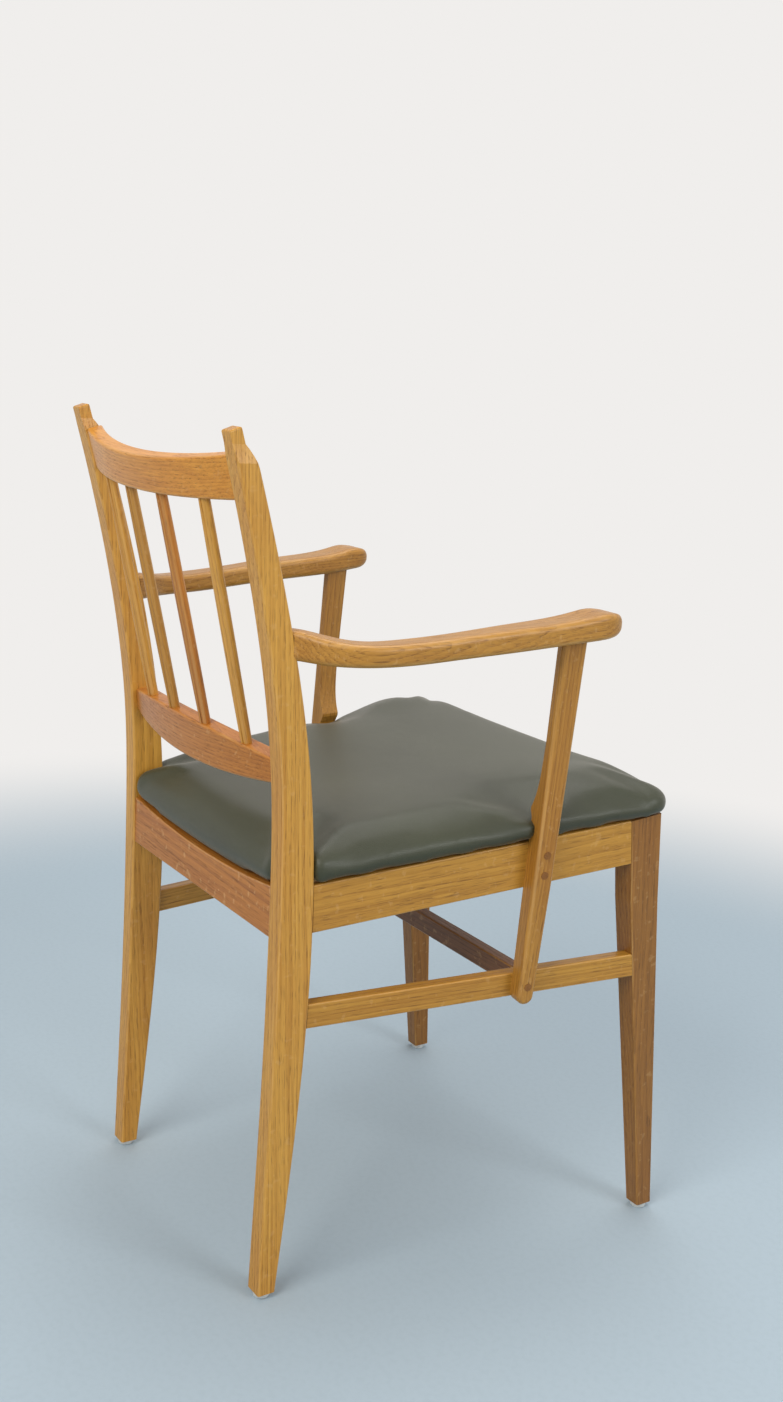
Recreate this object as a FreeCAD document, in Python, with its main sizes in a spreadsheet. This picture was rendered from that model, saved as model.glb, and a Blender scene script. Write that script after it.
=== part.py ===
import FreeCAD, Part
import math
import os
import Sketcher

# Captains chair: a light oak dining armchair with an upholstered pad.
# Millimetres. +Z is up, -Y is the front of the seat, X is left to right as seen from the front.
# The origin is on the floor, in the middle of the box round the whole chair.

V = FreeCAD.Vector
Placement = FreeCAD.Placement
Rotation = FreeCAD.Rotation

doc = FreeCAD.newDocument("captains_chair")
sheet = doc.addObject("Spreadsheet::Sheet", "Sizes")

SIZES = (
    ("post_height", 793.8, "floor to the tip of a back post"),
    ("glide_height", 5.5, "nail-on glide under each leg"),
    ("glide_diameter", 16.0, "glide disc"),
    ("glide_nail_diameter", 3.0, "nail of the glide"),
    ("glide_nail_length", 18.0, "nail of the glide, into the leg"),
    ("post_outer", 166.6, "middle of the chair to the outer face of a back post"),
    ("post_width", 21.0, "back post, side to side"),
    ("post_low_height", 190.0, "height of the second station of the post's curve"),
    ("post_seat_height", 381.0, "height of the station at the seat"),
    ("post_rail_height", 495.0, "height of the station at the lower back rail"),
    ("post_arm_height", 628.0, "height of the station at the arm"),
    ("post_back_floor", 185.2, "back edge of the post at the floor"),
    ("post_back_low", 180.3, "back edge at the second station"),
    ("post_back_seat", 178.8, "back edge at the seat"),
    ("post_back_rail", 182.5, "back edge at the lower back rail"),
    ("post_back_arm", 201.8, "back edge at the arm"),
    ("post_back_tip", 242.9, "back edge at the tip"),
    ("post_depth_floor", 18.0, "front to back at the floor"),
    ("post_depth_low", 29.8, "front to back at the second station"),
    ("post_depth_seat", 33.8, "front to back at the seat"),
    ("post_depth_rail", 29.5, "front to back at the lower back rail"),
    ("post_depth_arm", 23.9, "front to back at the arm"),
    ("post_depth_tip", 19.3, "front to back at the tip, before the finial is cut"),
    ("finial_height", 14.0, "straight part of the finial"),
    ("finial_cove", 25.0, "shoulder below the finial"),
    ("finial_depth", 11.8, "finial, front to back"),
    ("finial_width", 14.6, "finial, side to side"),
    ("finial_offset", 0.9, "middle of the finial outward of the middle of the post"),
    ("finial_slope", 0.36, "rise of the finial's top for each millimetre forward"),
    ("finial_edge_radius", 1.9, "eased edges of the finial's top"),
    ("post_edge_radius", 2.2, "eased long edges of the posts"),
    ("leg_foot_x", 207.0, "middle of the front foot, from the middle of the chair"),
    ("leg_foot_y", -245.2, "middle of the front foot, front to back"),
    ("leg_foot_width", 18.0, "front foot, side to side"),
    ("leg_foot_depth", 19.0, "front foot, front to back"),
    ("leg_knee_height", 345.0, "height where the taper of the front leg begins"),
    ("leg_knee_x", 198.2, "middle of the front leg there"),
    ("leg_knee_y", -208.7, "middle of the front leg there"),
    ("leg_knee_width", 25.5, "front leg there, side to side"),
    ("leg_knee_depth", 35.7, "front leg there, front to back"),
    ("leg_top_x", 196.9, "middle of the front leg's top"),
    ("leg_top_y", -201.0, "middle of the front leg's top"),
    ("leg_top_width", 26.3, "front leg's top, side to side"),
    ("leg_top_depth", 39.0, "front leg's top, front to back"),
    ("leg_edge_radius", 2.0, "eased long edges of the front legs"),
    ("seat_plane_height", 412.8, "height of the seat frame's top plane at the origin"),
    ("seat_plane_rise", 0.0947, "rise of the seat plane for each millimetre forward"),
    ("seat_rail_height", 44.8, "side and front seat rails, top to bottom"),
    ("seat_rail_thickness", 20.0, "all seat rails"),
    ("rear_rail_height", 48.0, "rear seat rail, top to bottom at its ends"),
    ("rear_rail_recess", 1.8, "rear rail behind the line of the posts' back edges"),
    ("front_rail_recess", 2.0, "front rail behind the front legs' front faces"),
    ("side_recess", 0.9, "side rails and side stretchers inside the outer faces of the posts"),
    ("side_end_allowance", 4.0, "blank of a side rail or stretcher, into the post and the leg"),
    ("seat_dish", 9.0, "hollow of the seat between the side rails"),
    ("rail_edge_radius", 1.6, "eased edges of the rails"),
    ("side_stretcher_height", 23.5, "side stretcher, top to bottom"),
    ("side_stretcher_thickness", 13.5, "side stretcher, side to side"),
    ("side_stretcher_rear_z", 275.0, "middle of the side stretcher at the back post"),
    ("side_stretcher_front_z", 278.6, "middle of the side stretcher at the front leg"),
    ("cross_stretcher_y", -80.9, "middle of the cross stretcher"),
    ("cross_stretcher_height", 20.0, "cross stretcher, top to bottom"),
    ("cross_stretcher_thickness", 14.0, "cross stretcher, front to back"),
    ("crest_drop", 40.3, "tip of the posts down to the middle of the crest rail's ends"),
    ("crest_height", 38.5, "crest rail's ends, top to bottom"),
    ("crest_thickness", 16.0, "crest rail, front to back"),
    ("crest_sweep", 23.2, "how far the crest rail bends back in the middle"),
    ("crest_top_hollow", 5.2, "shallow hollow of the crest rail's top edge"),
    ("lower_rail_z", 501.0, "middle of the lower back rail's ends"),
    ("lower_rail_height", 21.5, "lower back rail's ends, top to bottom"),
    ("lower_rail_thickness", 18.0, "lower back rail, front to back"),
    ("lower_rail_sweep", 17.0, "how far the lower back rail bends back"),
    ("lower_rail_crown", 10.0, "rise of its top edge in the middle"),
    ("lower_rail_belly", 8.0, "fall of its lower edge in the middle"),
    ("back_rail_edge_radius", 2.5, "eased edges of the two back rails"),
    ("spindle_count", 4.0, "spindles in the back"),
    ("spindle_pitch", 65.4, "spindles, centre to centre"),
    ("spindle_width", 15.5, "spindle in the middle, side to side"),
    ("spindle_end_width", 12.5, "spindle at its ends, side to side"),
    ("spindle_depth", 10.5, "spindle, front to back"),
    ("spindle_tenon", 9.0, "how far a spindle runs into each rail"),
    ("arm_rear_width", 18.5, "arm at the back post, side to side"),
    ("arm_neck_width", 29.5, "arm behind its middle"),
    ("arm_front_width", 40.0, "arm over its support"),
    ("arm_rear_thickness", 26.0, "arm at the back post, top to bottom"),
    ("arm_thickness", 19.5, "arm at its neck, top to bottom"),
    ("arm_front_thickness", 24.0, "arm at its nose, top to bottom"),
    ("arm_rear_z", 601.5, "underside of the arm at the back post"),
    ("arm_neck_z", 599.5, "underside of the arm at its lowest"),
    ("arm_front_z", 615.0, "underside of the arm over its support"),
    ("arm_neck_x", 200.5, "middle of the arm's neck, from the middle of the chair"),
    ("arm_front_x", 215.5, "middle of the arm over its support"),
    ("arm_tip_y", -132.2, "tip of the arm"),
    ("arm_edge_radius", 6.0, "rounded edges of the arm"),
    ("support_reach", 18.5, "support, outward from the side rail"),
    ("support_foot_reach", 15.5, "support at its foot, outward from the side stretcher"),
    ("support_neck", 10.0, "support under the arm, side to side"),
    ("support_knuckle_z", 450.0, "height of the knuckle above the side rail"),
    ("support_knuckle", 3.0, "how far the knuckle reaches over the side rail"),
    ("support_bottom_z", 261.5, "lowest point of the support"),
    ("support_top_y", -91.3, "middle of the support's top"),
    ("support_top_depth", 26.0, "support's top, front to back"),
    ("support_foot_y", -69.9, "middle of the support's foot"),
    ("support_foot_depth", 17.0, "support's foot, front to back"),
    ("support_edge_radius", 4.0, "eased edges of the support"),
    ("support_tenon_diameter", 9.0, "round tenon of the support into the arm"),
    ("support_tenon_length", 11.0, "length of that tenon"),
    ("plug_diameter", 7.5, "plugs over the screws of the support"),
    ("plug_length", 26.0, "length of the dowels behind the plugs"),
    ("plug_upper_z", 411.0, "upper plug on the side rail"),
    ("plug_lower_z", 391.5, "lower plug on the side rail"),
    ("plug_stretcher_z", 279.8, "plug on the side stretcher"),
    ("dowel_diameter", 8.0, "dowels in the seat rails"),
    ("dowel_length", 30.0, "dowels in the seat rails"),
    ("small_dowel_diameter", 6.0, "dowels in the stretchers, the back rails and the arms"),
    ("small_dowel_length", 22.0, "dowels in the stretchers, the back rails and the arms"),
    ("bore_clearance", 0.05, "dowel bores, larger than the dowel on the radius"),
    ("joint_clearance", 0.02, "glued faces"),
    ("pad_thickness", 37.5, "seat pad at its edge"),
    ("pad_top_dish", 6.0, "hollow of the pad's top"),
    ("pad_overhang_side", 5.2, "pad beyond the side rails"),
    ("pad_overhang_front", 10.0, "pad beyond the front legs"),
    ("pad_corner_radius", 28.0, "front corners of the pad, seen from above"),
    ("pad_top_radius", 15.0, "rounded top edge of the pad"),
    ("pad_post_clearance", 0.6, "pad to the back posts and the supports"),
    ("pad_seat_clearance", 0.3, "pad above the seat rails"),
    ("board_thickness", 9.0, "moulded plywood board under the pad"),
    ("board_margin", 11.0, "board inside the pad's edge"),
    ("block_leg", 34.0, "corner block along the rails"),
    ("block_height", 28.0, "corner block, top to bottom"),
    ("block_drop", 8.0, "corner block below the top of the rails"),
)

for row, (alias, value, note) in enumerate(SIZES, start=1):
    sheet.set("A%d" % row, note)
    sheet.set("B%d" % row, repr(value))
    sheet.setAlias("B%d" % row, alias)
doc.recompute()


def size(alias):
    return float(sheet.get(alias))


# Lines and curves


def polygon(points):
    return [Part.LineSegment(a, b) for a, b in zip(points, points[1:] + points[:1])]


def spline(points):
    curve = Part.BSplineCurve()
    curve.interpolate(points)
    return curve


def rounded_box(width, height, radius):
    x, y = width / 2.0, height / 2.0
    r = min(radius, 0.46 * min(width, height))
    q = r * (1.0 - math.sqrt(0.5))
    items = []
    for sx, sy in ((1, 1), (-1, 1), (-1, -1), (1, -1)):
        a = V(sx * x, sy * (y - r), 0)
        b = V(sx * (x - q), sy * (y - q), 0)
        c = V(sx * (x - r), sy * y, 0)
        items.append((a, b, c) if sx * sy > 0 else (c, b, a))
    edges = []
    for index, (a, b, c) in enumerate(items):
        following = items[(index + 1) % 4][0]
        edges.append(Part.Arc(a, b, c))
        edges.append(Part.LineSegment(c, following))
    return edges


def bow(a, middle, b):
    # An arc through three points, or the straight line where they lie in line
    if (middle - a).cross(b - a).Length < 1e-3 * (b - a).Length:
        return Part.LineSegment(a, b)
    return Part.Arc(a, middle, b)


def curve_at_height(curve, z):
    low, high = curve.FirstParameter, curve.LastParameter
    for _ in range(50):
        middle = 0.5 * (low + high)
        if curve.value(middle).y < z:
            low = middle
        else:
            high = middle
    return curve.value(low).x


def blend(a, b, share):
    return a + (b - a) * share


# Bodies, sketches and features


def new_body(label):
    body = doc.addObject("PartDesign::Body", label)
    body.Label = label
    return body


def add_sketch(body, name, plane, geometry, join=True):
    sketch = body.newObject("Sketcher::SketchObject", name)
    support = [item for item in body.Origin.OriginFeatures if item.Role == plane][0]
    sketch.AttachmentSupport = [(support, "")]
    sketch.MapMode = "FlatFace"
    sketch.addGeometry(geometry, False)
    if join:
        join_ends(sketch, len(geometry))
    return sketch


def join_ends(sketch, count):
    ends = [(i, j, sketch.getPoint(i, j)) for i in range(count) for j in (1, 2)]
    for index, (i, j, point) in enumerate(ends):
        for k, l, other in ends[index + 1:]:
            if i != k and point.distanceToPoint(other) < 1e-6:
                sketch.addConstraint(Sketcher.Constraint("Coincident", i, j, k, l))


def add_pad(body, name, sketch, length, symmetric=False, reverse=False):
    pad = body.newObject("PartDesign::Pad", name)
    pad.Profile = sketch
    pad.SideType = "Symmetric" if symmetric else "One side"
    pad.Reversed = reverse
    pad.setExpression("Length", length)
    return pad


def add_cut_through(body, name, sketch):
    pocket = body.newObject("PartDesign::Pocket", name)
    pocket.Profile = sketch
    pocket.Type = "ThroughAll"
    pocket.SideType = "Symmetric"
    doc.recompute()
    return pocket


def frame_round(low_x, low_y, high_x, high_y):
    return polygon([V(low_x, low_y, 0), V(high_x, low_y, 0), V(high_x, high_y, 0), V(low_x, high_y, 0)])


def edge_names(shape, wanted):
    return ["Edge%d" % (i + 1) for i, edge in enumerate(shape.Edges) if wanted(edge)]


def add_fillet(body, name, radius, wanted):
    doc.recompute()
    base = body.Tip
    fillet = body.newObject("PartDesign::Fillet", name)
    fillet.Base = (base, edge_names(base.Shape, wanted))
    fillet.setExpression("Radius", radius)
    doc.recompute()
    return fillet


def longer_than(limit):
    return lambda edge: edge.Length > limit


def add_cylinder(name, base, axis, radius, height):
    cylinder = doc.addObject("Part::Cylinder", name)
    cylinder.setExpression("Radius", radius)
    cylinder.setExpression("Height", height)
    cylinder.Placement = Placement(base, Rotation(V(0, 0, 1), axis))
    return cylinder


def cut(label, base, tools):
    tool = tools[0]
    if len(tools) > 1:
        tool = doc.addObject("Part::MultiFuse", label + "_tools")
        tool.Shapes = tools
    result = doc.addObject("Part::Cut", label)
    result.Base = base
    result.Tool = tool
    result.Label = label
    return result


def grouped(label, objects):
    group = doc.addObject("Part::Compound", label)
    group.Links = objects
    group.Label = label
    return group


def mirrored(label, source):
    mirror = doc.addObject("Part::Mirroring", label)
    mirror.Source = source
    mirror.Base = V(0, 0, 0)
    mirror.Normal = V(1, 0, 0)
    mirror.Label = label
    return mirror


nodes = []


def keep(*objects):
    nodes.extend(objects)


# The seat plane rises to the front

RISE = size("seat_plane_rise")
SEAT_ANGLE = math.degrees(math.atan(RISE))


def seat_plane(y):
    return size("seat_plane_height") - RISE * y


# Back posts: a curved blank sawn from a board, with a small coved finial

POST_HEIGHTS = [
    size("glide_height"),
    size("post_low_height"),
    size("post_seat_height"),
    size("post_rail_height"),
    size("post_arm_height"),
    size("post_height"),
]
POST_BACKS = [
    size("post_back_" + name) for name in ("floor", "low", "seat", "rail", "arm", "tip")
]
POST_FRONTS = [
    back - size("post_depth_" + name)
    for back, name in zip(POST_BACKS, ("floor", "low", "seat", "rail", "arm", "tip"))
]
back_edge = spline([V(y, z, 0) for y, z in zip(POST_BACKS, POST_HEIGHTS)])
front_edge = spline([V(y, z, 0) for y, z in zip(POST_FRONTS, POST_HEIGHTS)])


def post_back(z):
    return curve_at_height(back_edge, z)


def post_front(z):
    return curve_at_height(front_edge, z)


def post_lean(z):
    step = 10.0
    middle_high = post_back(z + step) + post_front(z + step)
    middle_low = post_back(z - step) + post_front(z - step)
    return (middle_high - middle_low) / (4.0 * step)


def post_blank(label):
    body = new_body(label)
    foot_back, foot_front = POST_BACKS[0], POST_FRONTS[0]
    tip_back, tip_front = POST_BACKS[-1], POST_FRONTS[-1]
    top = size("post_height")
    bottom = size("glide_height")
    outline = [
        back_edge,
        Part.LineSegment(V(tip_back, top, 0), V(tip_front, top, 0)),
        front_edge,
        Part.LineSegment(V(foot_front, bottom, 0), V(foot_back, bottom, 0)),
    ]
    profile = add_sketch(body, label + "_profile", "YZ_Plane", outline, join=False)
    add_pad(body, label + "_thickness", profile, "Sizes.post_width", symmetric=True)
    doc.recompute()
    body.setExpression("Placement.Base.x", "-Sizes.post_outer + Sizes.post_width / 2")
    return body


def add_finial(body, label):
    top = size("post_height")
    shoulder = top - size("finial_height")
    cove = shoulder - size("finial_cove")
    lean = post_lean(shoulder)
    stub_back = post_back(shoulder)
    stub_front = stub_back - size("finial_depth")
    cove_front = post_front(cove)
    tip_front = stub_front + lean * (top - shoulder)
    middle = V(blend(cove_front, stub_front, 0.40), blend(cove, shoulder, 0.53), 0)
    far = cove_front - 40.0
    front_cut = [
        Part.Arc(V(cove_front, cove, 0), middle, V(stub_front, shoulder, 0)),
        Part.LineSegment(V(stub_front, shoulder, 0), V(tip_front, top, 0)),
        Part.LineSegment(V(tip_front, top, 0), V(tip_front, top + 12.0, 0)),
        Part.LineSegment(V(tip_front, top + 12.0, 0), V(far, top + 12.0, 0)),
        Part.LineSegment(V(far, top + 12.0, 0), V(far, cove, 0)),
        Part.LineSegment(V(far, cove, 0), V(cove_front, cove, 0)),
    ]
    sketch = add_sketch(body, label + "_front_cove", "YZ_Plane", front_cut)
    add_cut_through(body, label + "_front_cove_cut", sketch)
    slant = size("finial_slope")
    top_cut = [
        Part.LineSegment(V(tip_front - 5.0, top + 5.0 * slant, 0), V(tip_front + 40.0, top - 40.0 * slant, 0)),
        Part.LineSegment(V(tip_front + 40.0, top - 40.0 * slant, 0), V(tip_front + 40.0, top + 20.0, 0)),
        Part.LineSegment(V(tip_front + 40.0, top + 20.0, 0), V(tip_front - 5.0, top + 20.0, 0)),
        Part.LineSegment(V(tip_front - 5.0, top + 20.0, 0), V(tip_front - 5.0, top + 5.0 * slant, 0)),
    ]
    sketch = add_sketch(body, label + "_tip", "YZ_Plane", top_cut)
    add_cut_through(body, label + "_tip_cut", sketch)
    half_post = size("post_width") / 2.0
    side_low = shoulder - 0.6 * size("finial_cove")
    for side in (-1.0, 1.0):
        half_stub = size("finial_width") / 2.0 - side * size("finial_offset")
        corner = V(side * half_post, side_low, 0)
        neck = V(side * half_stub, shoulder, 0)
        bend = V(side * blend(half_post, half_stub, 0.62), blend(side_low, shoulder, 0.5), 0)
        out = side * (half_post + 5.0)
        side_cut = [
            Part.Arc(corner, bend, neck),
            Part.LineSegment(neck, V(side * half_stub, top + 12.0, 0)),
            Part.LineSegment(V(side * half_stub, top + 12.0, 0), V(out, top + 12.0, 0)),
            Part.LineSegment(V(out, top + 12.0, 0), V(out, side_low, 0)),
            Part.LineSegment(V(out, side_low, 0), corner),
        ]
        name = label + ("_inner_cove" if side > 0 else "_outer_cove")
        sketch = add_sketch(body, name, "XZ_Plane", side_cut)
        add_cut_through(body, name + "_cut", sketch)


post_tool = post_blank("post_blank_right")
post_body = post_blank("post_body_right")
add_fillet(post_body, "post_edges_right", "Sizes.post_edge_radius", longer_than(400.0))
add_finial(post_body, "post_right")


def finial_rim(edge):
    box = edge.BoundBox
    return box.ZMin > size("post_height") - 20.0 * size("finial_slope")


add_fillet(post_body, "post_tip_right", "Sizes.finial_edge_radius", finial_rim)

# Front legs: square above, tapering to the foot on every side, raked forward

LEG_TOP_Z = seat_plane(size("leg_top_y") - size("leg_top_depth") / 2.0) + 6.0


def leg_section(body, name, height, prefix, radius):
    corners = rounded_box(size(prefix + "_width"), size(prefix + "_depth"), radius)
    sketch = add_sketch(body, name, "XY_Plane", corners)
    sketch.AttachmentOffset = Placement(V(-size(prefix + "_x"), size(prefix + "_y"), height), Rotation())
    return sketch


def leg_blank(label, radius):
    body = new_body(label)
    foot = leg_section(body, label + "_foot", size("glide_height"), "leg_foot", radius)
    knee = leg_section(body, label + "_knee", size("leg_knee_height"), "leg_knee", radius)
    top = leg_section(body, label + "_top", LEG_TOP_Z, "leg_top", radius)
    loft = body.newObject("PartDesign::AdditiveLoft", label + "_taper")
    loft.Profile = foot
    loft.Sections = [knee, top]
    loft.Ruled = True
    doc.recompute()
    return body


def trim_to_seat_plane(body, label):
    low, high = -400.0, 400.0
    region = polygon([
        V(low, seat_plane(low), 0),
        V(high, seat_plane(high), 0),
        V(high, seat_plane(low) + 60.0, 0),
        V(low, seat_plane(low) + 60.0, 0),
    ])
    sketch = add_sketch(body, label + "_seat_line", "YZ_Plane", region)
    add_cut_through(body, label + "_seat_cut", sketch)


leg_tool = leg_blank("leg_blank_right", 0.05)
leg_body = leg_blank("leg_body_right", size("leg_edge_radius"))
trim_to_seat_plane(leg_body, "leg_right")


def leg_share(z):
    return (z - size("glide_height")) / (size("leg_knee_height") - size("glide_height"))


def leg_at(z, name):
    if z <= size("leg_knee_height"):
        return blend(size("leg_foot_" + name), size("leg_knee_" + name), leg_share(z))
    share = (z - size("leg_knee_height")) / (LEG_TOP_Z - size("leg_knee_height"))
    return blend(size("leg_knee_" + name), size("leg_top_" + name), share)


def leg_back(z):
    return leg_at(z, "y") + leg_at(z, "depth") / 2.0


def leg_front(z):
    return leg_at(z, "y") - leg_at(z, "depth") / 2.0


def leg_outer(z):
    return leg_at(z, "x") + leg_at(z, "width") / 2.0


def leg_inner(z):
    return leg_at(z, "x") - leg_at(z, "width") / 2.0


# The right side of the seat frame lies in one upright plane, turned a little outwards to the front

REAR_RAIL_Z = seat_plane(post_front(size("post_seat_height"))) - size("seat_rail_height") / 2.0
FRONT_RAIL_Z = seat_plane(size("leg_top_y")) - size("seat_rail_height") / 2.0
SIDE_LOW_Z = size("side_stretcher_front_z")
SIDE_REAR = V(-(size("post_outer") - size("side_recess")), post_front(REAR_RAIL_Z), 0)
SIDE_FRONT = V(-(leg_outer(SIDE_LOW_Z) - size("side_recess")), leg_back(SIDE_LOW_Z), 0)
SIDE_RUN = SIDE_FRONT - SIDE_REAR
SIDE_ANGLE = math.degrees(math.atan2(SIDE_RUN.x, -SIDE_RUN.y))
SIDE_PLACE = Placement(SIDE_REAR, Rotation(V(0, 0, 1), SIDE_ANGLE))
SIDE_COS = math.cos(math.radians(SIDE_ANGLE))
SIDE_SPREAD = -math.tan(math.radians(SIDE_ANGLE))


def side_station(y):
    return (y - SIDE_REAR.y) / SIDE_COS


def side_member(label, thickness, middle_rear, middle_front, height_now, radius):
    # The ends run a little into the post and the leg, whose blanks trim them
    body = new_body(label)
    rear = side_station(post_front(middle_rear) + size("side_end_allowance"))
    front = side_station(leg_back(middle_front) - size("side_end_allowance"))
    length = side_station(SIDE_REAR.y) - side_station(leg_back(middle_front))
    half = height_now / 2.0
    bottom_rear, top_rear = middle_rear - half, middle_rear + half
    bottom_front, top_front = middle_front - half, middle_front + half

    def line_at(z_rear, z_front, station):
        return blend(z_rear, z_front, -station / length)

    outline = polygon([
        V(rear, line_at(bottom_rear, bottom_front, rear), 0),
        V(rear, line_at(top_rear, top_front, rear), 0),
        V(front, line_at(top_rear, top_front, front), 0),
        V(front, line_at(bottom_rear, bottom_front, front), 0),
    ])
    sketch = add_sketch(body, label + "_face", "YZ_Plane", outline)
    add_pad(body, label + "_thickness", sketch, thickness)
    add_fillet(body, label + "_edges", radius, longer_than(200.0))
    body.Placement = SIDE_PLACE
    return body


side_rail_blank = side_member(
    "side_rail_blank",
    "Sizes.seat_rail_thickness",
    seat_plane(SIDE_REAR.y) - size("seat_rail_height") / 2.0,
    seat_plane(leg_back(FRONT_RAIL_Z)) - size("seat_rail_height") / 2.0,
    size("seat_rail_height"),
    "Sizes.rail_edge_radius",
)
side_stretcher_blank = side_member(
    "side_stretcher_blank",
    "Sizes.side_stretcher_thickness",
    size("side_stretcher_rear_z"),
    size("side_stretcher_front_z"),
    size("side_stretcher_height"),
    "Sizes.rail_edge_radius",
)

# Rear and front seat rails: straight boards with a hollow top edge that carries the dished seat


def hollow_rail(label, half_length, y_back, z_top, height, dish):
    body = new_body(label)
    half = half_length - size("joint_clearance")
    outline = [
        bow(V(-half, z_top, 0), V(0, z_top - dish, 0), V(half, z_top, 0)),
        Part.LineSegment(V(half, z_top, 0), V(half, z_top - height, 0)),
        Part.LineSegment(V(half, z_top - height, 0), V(-half, z_top - height, 0)),
        Part.LineSegment(V(-half, z_top - height, 0), V(-half, z_top, 0)),
    ]
    sketch = add_sketch(body, label + "_face", "XZ_Plane", outline)
    add_pad(body, label + "_thickness", sketch, "Sizes.seat_rail_thickness")
    add_fillet(body, label + "_edges", "Sizes.rail_edge_radius", longer_than(100.0))
    body.Placement = Placement(V(0, y_back, 0), Rotation())
    return body


POST_INNER = size("post_outer") - size("post_width")
REAR_RAIL_BACK = post_back(REAR_RAIL_Z) - size("rear_rail_recess")
REAR_RAIL_TOP = seat_plane(REAR_RAIL_BACK)
rear_rail_blank = hollow_rail(
    "rear_rail_blank",
    POST_INNER,
    REAR_RAIL_BACK,
    REAR_RAIL_TOP,
    size("rear_rail_height"),
    size("seat_dish"),
)
FRONT_RAIL_BACK = leg_front(FRONT_RAIL_Z) + size("front_rail_recess") + size("seat_rail_thickness")
FRONT_RAIL_TOP = seat_plane(FRONT_RAIL_BACK)
front_rail_blank = hollow_rail(
    "front_rail_blank",
    leg_at(FRONT_RAIL_Z, "x"),
    FRONT_RAIL_BACK,
    FRONT_RAIL_TOP,
    size("seat_rail_height"),
    size("seat_dish"),
)

# Cross stretcher between the side stretchers


def cross_blank(label):
    body = new_body(label)
    y = size("cross_stretcher_y")
    z = blend(
        size("side_stretcher_rear_z"),
        size("side_stretcher_front_z"),
        (SIDE_REAR.y - y) / (SIDE_REAR.y - SIDE_FRONT.y),
    )
    half_y, half_z = size("cross_stretcher_thickness") / 2.0, size("cross_stretcher_height") / 2.0
    sketch = add_sketch(body, label + "_end", "YZ_Plane", frame_round(y - half_y, z - half_z, y + half_y, z + half_z))
    add_pad(body, label + "_length", sketch, "2 * Sizes.leg_knee_x", symmetric=True)
    add_fillet(body, label + "_edges", "Sizes.rail_edge_radius", longer_than(200.0))
    return body


cross_stretcher_blank = cross_blank("cross_stretcher_blank")

# Crest rail and lower back rail: bent to the back, lying in the lean of the posts


def bent_rail(label, z, prefix, top_middle, bottom_middle):
    body = new_body(label)
    half = POST_INNER - size("joint_clearance")
    high, low = size(prefix + "_height") / 2.0, -size(prefix + "_height") / 2.0
    face = [
        bow(V(-half, high, 0), V(0, high + top_middle, 0), V(half, high, 0)),
        Part.LineSegment(V(half, high, 0), V(half, low, 0)),
        bow(V(half, low, 0), V(0, low + bottom_middle, 0), V(-half, low, 0)),
        Part.LineSegment(V(-half, low, 0), V(-half, high, 0)),
    ]
    sketch = add_sketch(body, label + "_face", "XZ_Plane", face)
    add_pad(body, label + "_blank", sketch, "200", symmetric=True)
    doc.recompute()
    deep = size(prefix + "_thickness") / 2.0
    sweep = size(prefix + "_sweep")
    wide = half + 20.0
    plan = []
    for side in (1.0, -1.0):
        edge, out = side * deep, side * 150.0
        plan += [
            bow(V(-half, edge, 0), V(0, edge + sweep, 0), V(half, edge, 0)),
            Part.LineSegment(V(half, edge, 0), V(wide, edge, 0)),
            Part.LineSegment(V(wide, edge, 0), V(wide, out, 0)),
            Part.LineSegment(V(wide, out, 0), V(-wide, out, 0)),
            Part.LineSegment(V(-wide, out, 0), V(-wide, edge, 0)),
            Part.LineSegment(V(-wide, edge, 0), V(-half, edge, 0)),
        ]
    sketch = add_sketch(body, label + "_bend", "XY_Plane", plan)
    add_cut_through(body, label + "_bend_cut", sketch)
    add_fillet(body, label + "_edges", "Sizes.back_rail_edge_radius", longer_than(100.0))
    lean = math.degrees(math.atan(post_lean(z)))
    middle = 0.5 * (post_back(z) + post_front(z))
    body.Placement = Placement(V(0, middle, z), Rotation(V(1, 0, 0), -lean))
    return body


CREST_Z = size("post_height") - size("crest_drop")
crest_blank = bent_rail("crest_blank", CREST_Z, "crest", -size("crest_top_hollow"), 0.0)
lower_blank = bent_rail(
    "lower_blank", size("lower_rail_z"), "lower_rail", size("lower_rail_crown"), -size("lower_rail_belly")
)

# Spindles: flat ovals, widest in the middle, let into the two back rails


def rail_middle(prefix, z, x):
    lean = post_lean(z)
    sweep = size(prefix + "_sweep") * (1.0 - (x / POST_INNER) ** 2)
    cos = 1.0 / math.sqrt(1.0 + lean * lean)
    middle = 0.5 * (post_back(z) + post_front(z))
    return V(x, middle + sweep * cos, z - sweep * lean * cos)


def rounded_slot(width, depth):
    half, round_off = width / 2.0, depth / 2.0
    flat = half - round_off
    bulge = round_off
    return [
        Part.Arc(V(flat, -bulge * 0.72, 0), V(half, 0, 0), V(flat, bulge * 0.72, 0)),
        Part.Arc(V(flat, bulge * 0.72, 0), V(0, bulge, 0), V(-flat, bulge * 0.72, 0)),
        Part.Arc(V(-flat, bulge * 0.72, 0), V(-half, 0, 0), V(-flat, -bulge * 0.72, 0)),
        Part.Arc(V(-flat, -bulge * 0.72, 0), V(0, -bulge, 0), V(flat, -bulge * 0.72, 0)),
    ]


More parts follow.
